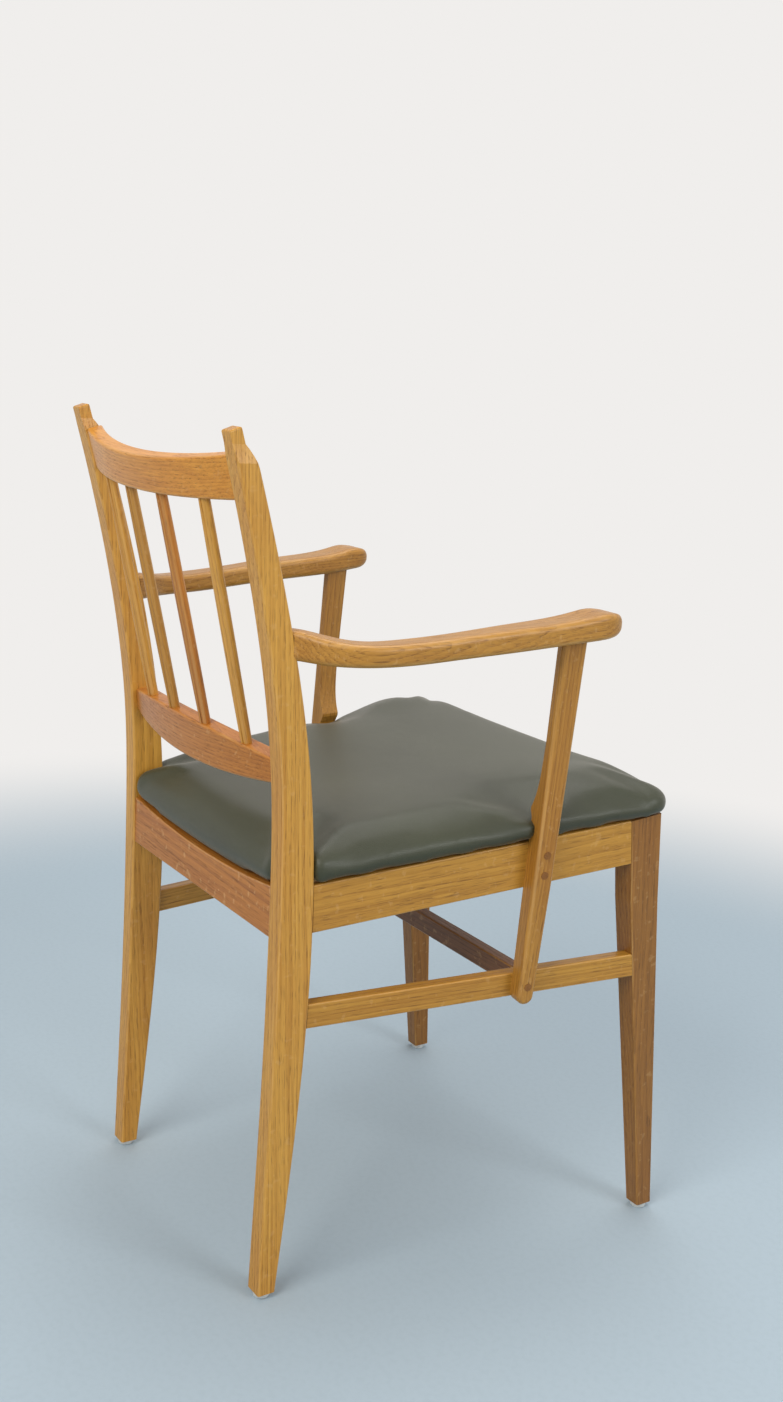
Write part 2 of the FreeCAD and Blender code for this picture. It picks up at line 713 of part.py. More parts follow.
def spindle(label, x):
    foot = rail_middle("lower_rail", size("lower_rail_z"), x)
    head = rail_middle("crest", CREST_Z, x)
    share = 1.0 - (x / POST_INNER) ** 2
    foot_top = size("lower_rail_height") / 2.0 + size("lower_rail_crown") * share
    head_low = -size("crest_height") / 2.0
    axis = head - foot
    axis.normalize()
    start = foot + axis * (foot_top - size("spindle_tenon"))
    end = head + axis * (head_low + size("spindle_tenon"))
    length = (end - start).Length
    body = new_body(label)
    sections = []
    for place, width in ((0.0, "spindle_end_width"), (0.5, "spindle_width"), (1.0, "spindle_end_width")):
        outline = rounded_slot(size(width), size("spindle_depth"))
        sketch = add_sketch(body, "%s_section_%d" % (label, int(place * 10)), "XY_Plane", outline)
        sketch.AttachmentOffset = Placement(V(0, 0, length * place), Rotation())
        sections.append(sketch)
    loft = body.newObject("PartDesign::AdditiveLoft", label + "_swell")
    loft.Profile = sections[0]
    loft.Sections = sections[1:]
    doc.recompute()
    turn = -math.degrees(math.atan2(axis.y, axis.z))
    body.Placement = Placement(start, Rotation(V(1, 0, 0), turn))
    return body


COUNT = int(round(size("spindle_count")))
spindles = []
for number in range(COUNT):
    offset = (number - (COUNT - 1) / 2.0) * size("spindle_pitch")
    spindles.append(spindle("back_spindle_%d" % (number + 1), offset))

# Armrests: a rounded bar that leaves the post narrow and deep, swings out and broadens over its support


# Sections of the rounded nose: distance behind the tip, then shares of the full width, depth and lift
NOSE = (
    (24.0, 0.99, 0.98, 0.02),
    (16.0, 0.93, 0.92, 0.065),
    (9.5, 0.80, 0.81, 0.13),
    (4.5, 0.61, 0.63, 0.215),
    (1.5, 0.40, 0.42, 0.31),
    (0.0, 0.20, 0.20, 0.41),
)


def arm_path():
    rear_z = size("arm_rear_z")
    post_y = post_front(rear_z + size("arm_rear_thickness") / 2.0)
    post_x = size("post_outer") - size("post_width") / 2.0
    neck_x, front_x, tip = size("arm_neck_x"), size("arm_front_x"), size("arm_tip_y")
    support_y = size("support_top_y")
    neck_y = blend(post_y, tip, 0.27)
    rear_w, neck_w, front_w = size("arm_rear_width"), size("arm_neck_width"), size("arm_front_width")
    deep, thin, full = size("arm_rear_thickness"), size("arm_thickness"), size("arm_front_thickness")
    neck_z, front_z = size("arm_neck_z"), size("arm_front_z")
    slope = (front_z - neck_z) / (neck_y - support_y)
    tip_x = front_x + 2.0
    return [
        (post_x - 1.4, post_y + 6.0, 22.0, rear_w, deep, rear_z),
        (blend(post_x, neck_x, 0.06), post_y - 3.0, 30.0, rear_w, deep, rear_z - 0.2),
        (blend(post_x, neck_x, 0.52), blend(post_y, neck_y, 0.29), 42.0, blend(rear_w, neck_w, 0.5), blend(deep, thin, 0.55), rear_z - 1.4),
        (blend(post_x, neck_x, 0.84), blend(post_y, neck_y, 0.60), 24.0, blend(rear_w, neck_w, 0.9), thin, neck_z + 0.3),
        (neck_x, neck_y, 9.0, neck_w, thin, neck_z + 1.0),
        (blend(neck_x, front_x, 0.40), blend(neck_y, support_y, 0.28), 5.5, neck_w, blend(thin, full, 0.08), neck_z + slope * 0.26 * (neck_y - support_y) + 0.6),
        (blend(neck_x, front_x, 0.72), blend(neck_y, support_y, 0.58), 4.5, blend(neck_w, front_w, 0.35), blend(thin, full, 0.3), neck_z + slope * 0.58 * (neck_y - support_y)),
        (front_x, support_y, 3.0, blend(neck_w, front_w, 0.95), blend(thin, full, 0.72), front_z),
    ] + [
        (tip_x, tip + back, 0.0, front_w * wide, full * deep_share, front_z + 1.5 + full * lift)
        for back, wide, deep_share, lift in NOSE
    ]


def arm_blank(label):
    body = new_body(label)
    sections = []
    for index, (x, y, turn, width, thickness, z) in enumerate(arm_path()):
        outline = rounded_box(width, thickness, size("arm_edge_radius"))
        sketch = body.newObject("Sketcher::SketchObject", "%s_section_%d" % (label, index + 1))
        sketch.addGeometry(outline, False)
        upright = Rotation(V(1, 0, 0), 90)
        swing = Rotation(V(0, 0, 1), -turn)
        sketch.Placement = Placement(V(-x, y, z + thickness / 2.0), swing.multiply(upright))
        sections.append(sketch)
    loft = body.newObject("PartDesign::AdditiveLoft", label + "_bar")
    loft.Profile = sections[0]
    loft.Sections = sections[1:]
    doc.recompute()
    return body


arm_body = arm_blank("arm_blank_right")

# Arm supports: thin under the arm, swelling to a knuckle over the side rail, then lapped down
# the outside of the rail and of the side stretcher


TAPER_TOP = size("plug_lower_z") - size("plug_diameter")


def support_out(z):
    # How far the support stands out from the rail and the stretcher, less below the rail
    share = min(1.0, (z - size("support_bottom_z")) / (TAPER_TOP - size("support_bottom_z")))
    return blend(size("support_foot_reach"), size("support_reach"), share)


def support_blank(label):
    body = new_body(label)
    reach, neck = size("support_reach"), size("support_neck")
    knuckle_z, knuckle = size("support_knuckle_z"), size("support_knuckle")
    bottom = size("support_bottom_z") - 2.0
    top = size("arm_front_z") + 1.0
    gap = size("joint_clearance")
    straight_low = blend(knuckle_z, top, 0.40)
    throat = [
        V(-(reach - neck), straight_low, 0),
        V(-(reach - neck) * 0.80, blend(knuckle_z, top, 0.24), 0),
        V(-(reach - neck) * 0.32, blend(knuckle_z, top, 0.10), 0),
        V(knuckle, knuckle_z + 3.0, 0),
    ]
    end_view = [
        Part.LineSegment(V(-(reach - neck), top, 0), V(-(reach - neck), straight_low, 0)),
        spline(throat),
        Part.LineSegment(V(knuckle, knuckle_z + 3.0, 0), V(knuckle, knuckle_z, 0)),
        Part.LineSegment(V(knuckle, knuckle_z, 0), V(-gap, knuckle_z - 7.0, 0)),
        Part.LineSegment(V(-gap, knuckle_z - 7.0, 0), V(-gap, bottom, 0)),
        Part.LineSegment(V(-gap, bottom, 0), V(-support_out(bottom), bottom, 0)),
        Part.LineSegment(V(-support_out(bottom), bottom, 0), V(-reach, TAPER_TOP, 0)),
        Part.LineSegment(V(-reach, TAPER_TOP, 0), V(-reach, top, 0)),
        Part.LineSegment(V(-reach, top, 0), V(-(reach - neck), top, 0)),
    ]
    sketch = add_sketch(body, label + "_end_view", "XZ_Plane", end_view, join=False)
    add_pad(body, label + "_blank", sketch, "900", symmetric=True)
    doc.recompute()
    top_y, foot_y = side_station(size("support_top_y")), side_station(size("support_foot_y"))
    half_top, half_foot = size("support_top_depth") / 2.0, size("support_foot_depth") / 2.0
    low = size("support_bottom_z")
    shoulder = low + half_foot
    share = (shoulder - low) / (size("arm_front_z") - low)
    left = blend(foot_y + half_foot, top_y + half_top, share)
    right = blend(foot_y - half_foot, top_y - half_top, share)
    tip = V(blend(left, right, 0.5), low, 0)
    over = (top + 4.0 - low) / (size("arm_front_z") - low)
    left_top = V(blend(foot_y + half_foot, top_y + half_top, over), top + 4.0, 0)
    right_top = V(blend(foot_y - half_foot, top_y - half_top, over), top + 4.0, 0)
    side_view = [
        Part.Arc(V(left, shoulder, 0), tip, V(right, shoulder, 0)),
        Part.LineSegment(V(right, shoulder, 0), right_top),
        Part.LineSegment(right_top, left_top),
        Part.LineSegment(left_top, V(left, shoulder, 0)),
    ]
    outside = frame_round(-480.0, low - 60.0, 480.0, top + 60.0)
    sketch = add_sketch(body, label + "_side_view", "YZ_Plane", outside + side_view)
    add_cut_through(body, label + "_side_cut", sketch)
    body.Placement = SIDE_PLACE

    def outer_edges(edge):
        box = edge.BoundBox
        middle = edge.valueAt(0.5 * (edge.FirstParameter + edge.LastParameter))
        return middle.x < -support_out(middle.z) + 0.05 and box.ZLength > 5.0 and middle.z < top - 1.0

    add_fillet(body, label + "_edges", "Sizes.support_edge_radius", outer_edges)
    return body


support_body = support_blank("support_blank_right")

# Seat pad and its board: a dished panel, cut to the frame's plan


def half_plan(y):
    return -SIDE_REAR.x + SIDE_SPREAD * (SIDE_REAR.y - y)


def plan_outline(side_extra, front_extra, back_y, corner):
    front_y = leg_front(FRONT_RAIL_Z) - front_extra
    rear_x = half_plan(back_y) + side_extra
    front_x = half_plan(front_y) + side_extra
    turn = corner * 0.29
    return [
        Part.LineSegment(V(-rear_x, back_y, 0), V(rear_x, back_y, 0)),
        Part.LineSegment(V(rear_x, back_y, 0), V(front_x - SIDE_SPREAD * corner, front_y + corner, 0)),
        Part.Arc(
            V(front_x - SIDE_SPREAD * corner, front_y + corner, 0),
            V(front_x - turn, front_y + turn, 0),
            V(front_x - corner, front_y, 0),
        ),
        Part.LineSegment(V(front_x - corner, front_y, 0), V(-(front_x - corner), front_y, 0)),
        Part.Arc(
            V(-(front_x - corner), front_y, 0),
            V(-(front_x - turn), front_y + turn, 0),
            V(-(front_x - SIDE_SPREAD * corner), front_y + corner, 0),
        ),
        Part.LineSegment(V(-(front_x - SIDE_SPREAD * corner), front_y + corner, 0), V(-rear_x, back_y, 0)),
    ]


def dished_slab(bottom, thickness, top_dish):
    # Two end sections joined by straight lines, the hollow growing wider with the seat
    sections = []
    for y in (REAR_RAIL_BACK + 40.0, leg_front(FRONT_RAIL_Z) - 60.0):
        inner = half_plan(y) - size("seat_rail_thickness")
        wide = half_plan(y) + 60.0
        low, high = bottom, bottom + thickness
        edges = [
            Part.LineSegment(V(-wide, y, low), V(-inner, y, low)),
            Part.Arc(V(-inner, y, low), V(0, y, low - size("seat_dish")), V(inner, y, low)),
            Part.LineSegment(V(inner, y, low), V(wide, y, low)),
            Part.LineSegment(V(wide, y, low), V(wide, y, high)),
            Part.Arc(V(wide, y, high), V(0, y, high - top_dish), V(-wide, y, high)),
            Part.LineSegment(V(-wide, y, high), V(-wide, y, low)),
        ]
        sections.append(Part.Wire([edge.toShape() for edge in edges]))
    return Part.makeLoft(sections, True, True)


def seat_solid(outline, slab):
    face = Part.Face(Part.Wire([edge.toShape() for edge in outline]))
    column = face.extrude(V(0, 0, 200.0))
    column.translate(V(0, 0, -80.0))
    return column.common(slab)


def upper_rim(shape, level):
    return [edge for edge in shape.Edges if edge.BoundBox.ZMin > level and edge.BoundBox.ZLength < 14.0]


SEAT_PLACE = Placement(V(0, 0, size("seat_plane_height")), Rotation(V(1, 0, 0), -SEAT_ANGLE))
pad_low = size("pad_seat_clearance")
pad_outline = plan_outline(size("pad_overhang_side"), size("pad_overhang_front"), REAR_RAIL_BACK + 1.0, size("pad_corner_radius"))
pad_shape = seat_solid(pad_outline, dished_slab(pad_low, size("pad_thickness"), size("pad_top_dish")))
pad_shape = pad_shape.makeFillet(size("pad_top_radius"), upper_rim(pad_shape, size("pad_thickness") * 0.6))

board_outline = plan_outline(
    size("pad_overhang_side") - size("board_margin"),
    size("pad_overhang_front") - size("board_margin"),
    REAR_RAIL_BACK + 1.0 - size("board_margin"),
    size("pad_corner_radius") - size("board_margin") * 0.5,
)
board_shape = seat_solid(board_outline, dished_slab(pad_low, size("board_thickness"), size("seat_dish")))
recess = seat_solid(
    plan_outline(
        size("pad_overhang_side") - size("board_margin") + 0.3,
        size("pad_overhang_front") - size("board_margin") + 0.3,
        REAR_RAIL_BACK + 1.3 - size("board_margin"),
        size("pad_corner_radius") - size("board_margin") * 0.5,
    ),
    dished_slab(pad_low - 20.0, size("board_thickness") + 20.3, size("seat_dish")),
)


NOTCH_LOW = size("seat_plane_height") - 60.0
NOTCH_HIGH = size("seat_plane_height") + 100.0
NOTCH_OUT = V(-80.0, 0, 0)


def post_notch(clear):
    # The room for a back post at the pad's rear corner, open to the back and to the side
    inner = -(POST_INNER - clear)
    heights = [blend(NOTCH_LOW, NOTCH_HIGH, step / 4.0) for step in range(5)]
    front = [V(inner, post_front(z) - clear, z) for z in heights]
    behind = [V(inner, post_back(z) + 40.0, z) for z in (heights[-1], heights[0])]
    return Part.Face(Part.makePolygon(front + behind + front[:1])).extrude(NOTCH_OUT)


def support_side(z, way):
    # The support's rear edge (way 1) or front edge (way -1) at a height, along the side rail
    low = size("support_bottom_z")
    share = (z - low) / (size("arm_front_z") - low)
    foot = side_station(size("support_foot_y")) + way * size("support_foot_depth") / 2.0
    head = side_station(size("support_top_y")) + way * size("support_top_depth") / 2.0
    return blend(foot, head, share)


def support_notch(clear):
    # The room for an arm support at the pad's side, open to the side
    inner = size("support_knuckle") + clear
    corners = [
        V(inner, support_side(z, way) + way * clear, z)
        for z, way in ((NOTCH_LOW, 1), (NOTCH_HIGH, 1), (NOTCH_HIGH, -1), (NOTCH_LOW, -1))
    ]
    notch = Part.Face(Part.makePolygon(corners + corners[:1])).extrude(NOTCH_OUT)
    notch.Placement = SIDE_PLACE
    return notch


def place_feature(label, shape, placement):
    feature = doc.addObject("Part::Feature", label)
    feature.Label = label
    feature.Shape = shape
    feature.Placement = placement
    return feature


doc.recompute()
clear = size("pad_post_clearance")
to_seat = SEAT_PLACE.inverse()
cutters = []
for notch in (post_notch(clear), support_notch(clear)):
    for item in (notch, notch.mirror(V(0, 0, 0), V(1, 0, 0))):
        local = item.copy()
        local.Placement = to_seat.multiply(local.Placement)
        cutters.append(local)
pad_shape = pad_shape.cut(recess)
pad_shape = pad_shape.cut(cutters)
solids = sorted(pad_shape.Solids, key=lambda item: item.Volume)
seat_pad = place_feature("seat_pad", solids[-1], SEAT_PLACE)
board_cut = board_shape.cut(cutters)
solids = sorted(board_cut.Solids, key=lambda item: item.Volume)
seat_board = place_feature("seat_board", solids[-1], SEAT_PLACE)
keep(seat_pad, seat_board)

# Dowels: pairs in the seat rails, single ones elsewhere, each in a bore of its own clearance


class Dowel:
    def __init__(self, name, centre, axis, diameter="dowel_diameter", length="dowel_length"):
        axis = V(axis.x, axis.y, axis.z)
        axis.normalize()
        start = centre - axis * (size(length) / 2.0)
        self.pin = add_cylinder(name, start, axis, "Sizes.%s / 2" % diameter, "Sizes.%s" % length)
        bore_start = start - axis * 0.5
        self.bore = add_cylinder(
            name + "_bore", bore_start, axis, "Sizes.%s / 2 + Sizes.bore_clearance" % diameter, "Sizes.%s + 1" % length
        )


def side_point(y, inward, z):
    station = side_station(y)
    return SIDE_PLACE.multVec(V(inward, station, z))


SIDE_AXIS = SIDE_PLACE.Rotation.multVec(V(0, -1, 0))
rail_middle_in = size("seat_rail_thickness") / 2.0
rise_axis = V(SIDE_AXIS.x, SIDE_AXIS.y, RISE * SIDE_COS)
rear_joint = []
front_joint = []
for share in (0.28, 0.72):
    z = seat_plane(SIDE_REAR.y) - size("seat_rail_height") * share
    rear_joint.append(Dowel("side_rail_rear_dowel_%d" % (share * 100), side_point(post_front(z), rail_middle_in, z), rise_axis))
    z = seat_plane(leg_back(FRONT_RAIL_Z)) - size("seat_rail_height") * share
    front_joint.append(Dowel("side_rail_front_dowel_%d" % (share * 100), side_point(leg_back(z), rail_middle_in, z), rise_axis))

rear_rail_joint = []
front_rail_joint = []
for share in (0.36, 0.8):
    z = REAR_RAIL_TOP - size("rear_rail_height") * share
    centre = V(-POST_INNER, REAR_RAIL_BACK - size("seat_rail_thickness") * 0.5, z)
    rear_rail_joint.append(Dowel("rear_rail_dowel_%d" % (share * 100), centre + V(1.5, 0, 0), V(1, 0, 0), length="dowel_length"))
    z = FRONT_RAIL_TOP - size("seat_rail_height") * share
    centre = V(-leg_inner(z), FRONT_RAIL_BACK - size("seat_rail_thickness") * 0.5, z)
    front_rail_joint.append(Dowel("front_rail_dowel_%d" % (share * 100), centre, V(1, 0, 0)))

half_in = size("side_stretcher_thickness") / 2.0
small = {"diameter": "small_dowel_diameter", "length": "small_dowel_length"}
stretcher_rear = Dowel(
    "stretcher_rear_dowel",
    side_point(post_front(size("side_stretcher_rear_z")), half_in, size("side_stretcher_rear_z")),
    SIDE_AXIS,
    **small
)
stretcher_front = Dowel(
    "stretcher_front_dowel",
    side_point(leg_back(size("side_stretcher_front_z")), half_in, size("side_stretcher_front_z")),
    SIDE_AXIS,
    **small
)
crest_dowel = Dowel(
    "crest_dowel",
    V(-POST_INNER, 0.5 * (post_back(CREST_Z) + post_front(CREST_Z)), CREST_Z),
    V(1, 0, 0),
    **small
)
lower_dowel = Dowel(
    "lower_rail_dowel",
    V(-POST_INNER, 0.5 * (post_back(size("lower_rail_z")) + post_front(size("lower_rail_z"))), size("lower_rail_z")),
    V(1, 0, 0),
    **small
)
arm_mid_z = size("arm_rear_z") + size("arm_rear_thickness") / 2.0
arm_dowel = Dowel(
    "arm_dowel",
    V(-(size("post_outer") - size("post_width") / 2.0) - 1.5, post_front(arm_mid_z), arm_mid_z),
    V(0.25, 1, 0),
    **small
)

# Plugged dowels that hold the support to the side rail and the side stretcher


def support_centre(z):
    share = (z - size("support_bottom_z")) / (size("arm_front_z") - size("support_bottom_z"))
    return blend(size("support_foot_y"), size("support_top_y"), share)


PLUG_PROUD = 0.4
INWARD = SIDE_PLACE.Rotation.multVec(V(1, 0, 0))
plugs = []
for name in ("plug_upper", "plug_lower", "plug_stretcher"):
    z = size(name + "_z")
    centre = side_point(support_centre(z), size("plug_length") / 2.0 - support_out(z) - PLUG_PROUD, z)
    plugs.append(Dowel(name, centre, INWARD, "plug_diameter", "plug_length"))

support_top = side_point(size("support_top_y"), -size("support_reach") + size("support_neck") / 2.0, size("arm_front_z"))
tenon_axis = V(0, -0.07, 1)
tenon = add_cylinder(
    "support_tenon", support_top - V(0, 0, 4), tenon_axis, "min(Sizes.support_tenon_diameter; Sizes.support_neck - 2) / 2", "Sizes.support_tenon_length + 4"
)
tenon_bore = add_cylinder(
    "support_tenon_bore",
    support_top - V(0, 0, 4),
    tenon_axis,
    "min(Sizes.support_tenon_diameter; Sizes.support_neck - 2) / 2 + Sizes.bore_clearance",
    "Sizes.support_tenon_length + 4.5",
)

# Finished wooden pieces of the right side

all_bores = {
    "post": [d.bore for d in rear_joint + rear_rail_joint + [stretcher_rear, crest_dowel, lower_dowel, arm_dowel]],
    "leg": [d.bore for d in front_joint + front_rail_joint + [stretcher_front]],
}

# Glides: a disc with a nail up into each leg


def glide(label, x, y):
    disc = add_cylinder(label + "_disc", V(x, y, 0), V(0, 0, 1), "Sizes.glide_diameter / 2", "Sizes.glide_height")
    nail = add_cylinder(
        label + "_nail",
        V(x, y, size("glide_height") - 1.0),
        V(0, 0, 1),
        "Sizes.glide_nail_diameter / 2",
        "Sizes.glide_nail_length",
    )
    rim = doc.addObject("Part::Fillet", label + "_rim")
    rim.Base = disc
    doc.recompute()
    bottom = [i + 1 for i, edge in enumerate(disc.Shape.Edges) if edge.BoundBox.ZMax < 0.1]
    rim.Edges = [(index, 1.2, 1.2) for index in bottom]
    fused = doc.addObject("Part::MultiFuse", label)
    fused.Shapes = [rim, nail]
    fused.Label = label
    hole = add_cylinder(
        label + "_hole",
        V(x, y, size("glide_height") - 1.0),
        V(0, 0, 1),
        "Sizes.glide_nail_diameter / 2 + Sizes.bore_clearance",
        "Sizes.glide_nail_length + 0.5",
    )
    return fused, hole


post_foot_y = 0.5 * (POST_BACKS[0] + POST_FRONTS[0])
glide_rear, hole_rear = glide("glide_rear_right", -(size("post_outer") - size("post_width") / 2.0), post_foot_y)
glide_front, hole_front = glide("glide_front_right", -size("leg_foot_x"), size("leg_foot_y"))
keep(glide_rear, mirrored("glide_rear_left", glide_rear), glide_front, mirrored("glide_front_left", glide_front))

back_post = cut("back_post_right", post_body, all_bores["post"] + [hole_rear])
front_leg = cut("front_leg_right", leg_body, all_bores["leg"] + [hole_front])
keep(back_post, mirrored("back_post_left", back_post), front_leg, mirrored("front_leg_left", front_leg))

leg_tool_left = mirrored("leg_blank_left", leg_tool)
side_plug_bores = [d.bore for d in plugs]
side_rail = cut(
    "seat_rail_right",
    side_rail_blank,
    [post_tool, leg_tool] + [d.bore for d in rear_joint + front_joint] + side_plug_bores[:2],
)
keep(side_rail, mirrored("seat_rail_left", side_rail))


def mirrored_tools(objects):
    return objects + [mirrored(item.Name + "_left", item) for item in objects]


rear_rail = cut("seat_rail_rear", rear_rail_blank, mirrored_tools([d.bore for d in rear_rail_joint]))
front_rail = cut(
    "seat_rail_front", front_rail_blank, [leg_tool, leg_tool_left] + mirrored_tools([d.bore for d in front_rail_joint])
)
keep(rear_rail, front_rail)

side_stretcher = cut(
    "side_stretcher_right",
    side_stretcher_blank,
    [post_tool, leg_tool, stretcher_rear.bore, stretcher_front.bore, plugs[2].bore],
)
keep(side_stretcher, mirrored("side_stretcher_left", side_stretcher))


def outer_block(label):
    # Everything outside the inner faces of the side stretchers, used to trim the cross stretcher
    body = new_body(label)
    rear, front = side_station(SIDE_REAR.y), side_station(SIDE_FRONT.y)
    inner = size("side_stretcher_thickness") + size("joint_clearance")
    sketch = add_sketch(body, label + "_plan", "XY_Plane", frame_round(inner - 120.0, front, inner, rear))
    add_pad(body, label + "_height", sketch, "Sizes.seat_plane_height")
    body.Placement = SIDE_PLACE
    return body


side_trim = outer_block("side_trim_right")
side_trim_left = mirrored("side_trim_left", side_trim)
cross_stretcher = cut("cross_stretcher", cross_stretcher_blank, [side_trim, side_trim_left])
keep(cross_stretcher)

crest_rail = cut("crest_rail", crest_blank, spindles + mirrored_tools([crest_dowel.bore]))
lower_back_rail = cut("lower_back_rail", lower_blank, spindles + mirrored_tools([lower_dowel.bore]))
keep(crest_rail, lower_back_rail)
keep(*spindles)

armrest = cut("armrest_right", arm_body, [post_tool, arm_dowel.bore, tenon_bore])
keep(armrest, mirrored("armrest_left", armrest))

support_with_tenon = doc.addObject("Part::MultiFuse", "support_with_tenon")
support_trimmed = cut("support_trimmed", support_body, [arm_body])
support_with_tenon.Shapes = [support_trimmed, tenon]
arm_support = cut("arm_support_right", support_with_tenon, side_plug_bores)
keep(arm_support, mirrored("arm_support_left", arm_support))

support_plugs = grouped("support_plugs_right", [d.pin for d in plugs])
keep(support_plugs, mirrored("support_plugs_left", support_plugs))

right_dowels = [d.pin for d in rear_joint + front_joint + rear_rail_joint + front_rail_joint]
rail_dowels = grouped("rail_dowels_right", right_dowels)
keep(rail_dowels, mirrored("rail_dowels_left", rail_dowels))
small_dowels = grouped(
    "small_dowels_right", [d.pin for d in (stretcher_rear, stretcher_front, crest_dowel, lower_dowel, arm_dowel)]
)
keep(small_dowels, mirrored("small_dowels_left", small_dowels))

# Corner blocks glued into the seat frame


def corner_block(label, points, top, tools):
    body = new_body(label)
    sketch = add_sketch(body, label + "_plan", "XY_Plane", polygon(points))
    sketch.AttachmentOffset = Placement(V(0, 0, top), Rotation())
    add_pad(body, label + "_height", sketch, "Sizes.block_height", reverse=True)
    doc.recompute()
    return cut(label + "_right", body, tools)


def side_inner(y):
    return -half_plan(y) + size("seat_rail_thickness") / SIDE_COS + size("joint_clearance")


reach = size("block_leg")
rear_face = REAR_RAIL_BACK - size("seat_rail_thickness") - size("joint_clearance")
block_rear = corner_block(
    "corner_block_rear",
    [
        V(side_inner(SIDE_REAR.y), SIDE_REAR.y, 0),
        V(side_inner(SIDE_REAR.y - reach), SIDE_REAR.y - reach, 0),
        V(-POST_INNER + reach, rear_face, 0),
        V(-POST_INNER + size("joint_clearance"), rear_face, 0),
    ],
    REAR_RAIL_TOP - size("block_drop") - size("seat_dish"),
    [post_tool],
)
front_face = FRONT_RAIL_BACK + size("joint_clearance")
leg_corner = leg_back(FRONT_RAIL_Z)
block_front = corner_block(
    "corner_block_front",
    [
        V(side_inner(leg_corner), leg_corner, 0),
        V(side_inner(leg_corner + reach), leg_corner + reach, 0),
        V(-leg_inner(FRONT_RAIL_Z) + reach + 8.0, front_face, 0),
        V(-leg_inner(FRONT_RAIL_Z) - 4.0, front_face, 0),
    ],
    FRONT_RAIL_TOP - size("block_drop") - size("seat_dish"),
    [leg_tool],
)
keep(block_rear, mirrored("corner_block_rear_left", block_rear))
keep(block_front, mirrored("corner_block_front_left", block_front))

doc.recompute()

failed = [item.Name for item in doc.Objects if "Invalid" in item.State or "Error" in item.State]
if failed:
    raise RuntimeError("not recomputed: " + ", ".join(failed))
for node in nodes:
    if node.Shape.isNull() or not node.Shape.isValid() or not node.Shape.Solids:
        raise RuntimeError("bad shape: " + node.Label)

os.makedirs("parts", exist_ok=True)
for node in nodes:
    node.Shape.exportStep("parts/%s.step" % node.Label)
    box = node.Shape.optimalBoundingBox(False)
    print(
        "%-26s solids %2d  volume %9.0f  x %6.1f..%6.1f  y %6.1f..%6.1f  z %6.1f..%6.1f"
        % (node.Label, len(node.Shape.Solids), node.Shape.Volume, box.XMin, box.XMax, box.YMin, box.YMax, box.ZMin, box.ZMax)
    )
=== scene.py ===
"""A captains chair in satin-lacquered oak, with a padded seat in olive leather.

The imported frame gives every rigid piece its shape. This script dresses the pieces in their finishes, makes
the upholstered seat pad as a soft form, and sets the camera, the lamps and the floor.
"""

from __future__ import annotations

import logging
import math
from dataclasses import dataclass, field
from enum import Enum
from typing import Iterable, Sequence, Union

import bpy
import numpy as np
from mathutils import Matrix, Vector
from mathutils.bvhtree import BVHTree
from mathutils.kdtree import KDTree


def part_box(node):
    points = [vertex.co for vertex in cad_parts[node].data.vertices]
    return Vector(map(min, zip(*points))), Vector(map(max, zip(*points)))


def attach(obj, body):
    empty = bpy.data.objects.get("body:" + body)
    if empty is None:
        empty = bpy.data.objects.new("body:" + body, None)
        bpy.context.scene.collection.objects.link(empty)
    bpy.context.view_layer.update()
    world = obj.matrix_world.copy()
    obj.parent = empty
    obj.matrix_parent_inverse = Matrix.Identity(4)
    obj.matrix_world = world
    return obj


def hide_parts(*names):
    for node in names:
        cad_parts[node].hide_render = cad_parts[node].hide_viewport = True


LOG = logging.getLogger("captains_chair")
Triple = tuple[float, float, float]


def srgb(red: int, green: int, blue: int) -> Triple:
    """Turn a colour of 0 to 255, as a screen shows it, into the linear colour that a shader takes.

    Args:
        red: Red, 0 to 255.
        green: Green, 0 to 255.
        blue: Blue, 0 to 255.

    Returns:
        The linear colour.
    """
    linear = []
    for part in (red, green, blue):
        share = part / 255
        linear.append(share / 12.92 if share <= 0.04045 else ((share + 0.055) / 1.055) ** 2.4)
    return (linear[0], linear[1], linear[2])


class Tone(Enum):
    """The cast of one oak board: its pale latewood, its darker earlywood and its pores; the chestnut and
    umber casts also hold painted shade.
    """

    HONEY = (srgb(216, 160, 68), srgb(172, 112, 32), srgb(102, 62, 18))
    APRICOT = (srgb(222, 152, 56), srgb(180, 108, 28), srgb(112, 64, 18))
    GOLD = (srgb(198, 144, 56), srgb(154, 102, 30), srgb(94, 58, 18))
    RUSSET = (srgb(192, 122, 44), srgb(150, 86, 24), srgb(92, 52, 16))
    TAN = (srgb(188, 134, 54), srgb(146, 94, 30), srgb(88, 54, 18))
    # Darkened with painted shade, for the front legs that stand in shade.
    CHESTNUT = (srgb(158, 106, 42), srgb(118, 74, 22), srgb(74, 44, 14))
    # Dark brown: partly the board's own colour, partly painted shade under the seat.
    UMBER = (srgb(130, 84, 44), srgb(94, 58, 28), srgb(60, 34, 16))


@dataclass(frozen=True)
class Cloud:
    """One layer of noise: its grains in a metre each way, its finer layers and how strong these are."""

    per_metre: Triple
    detail: float = 2.0
    rough: float = 0.5


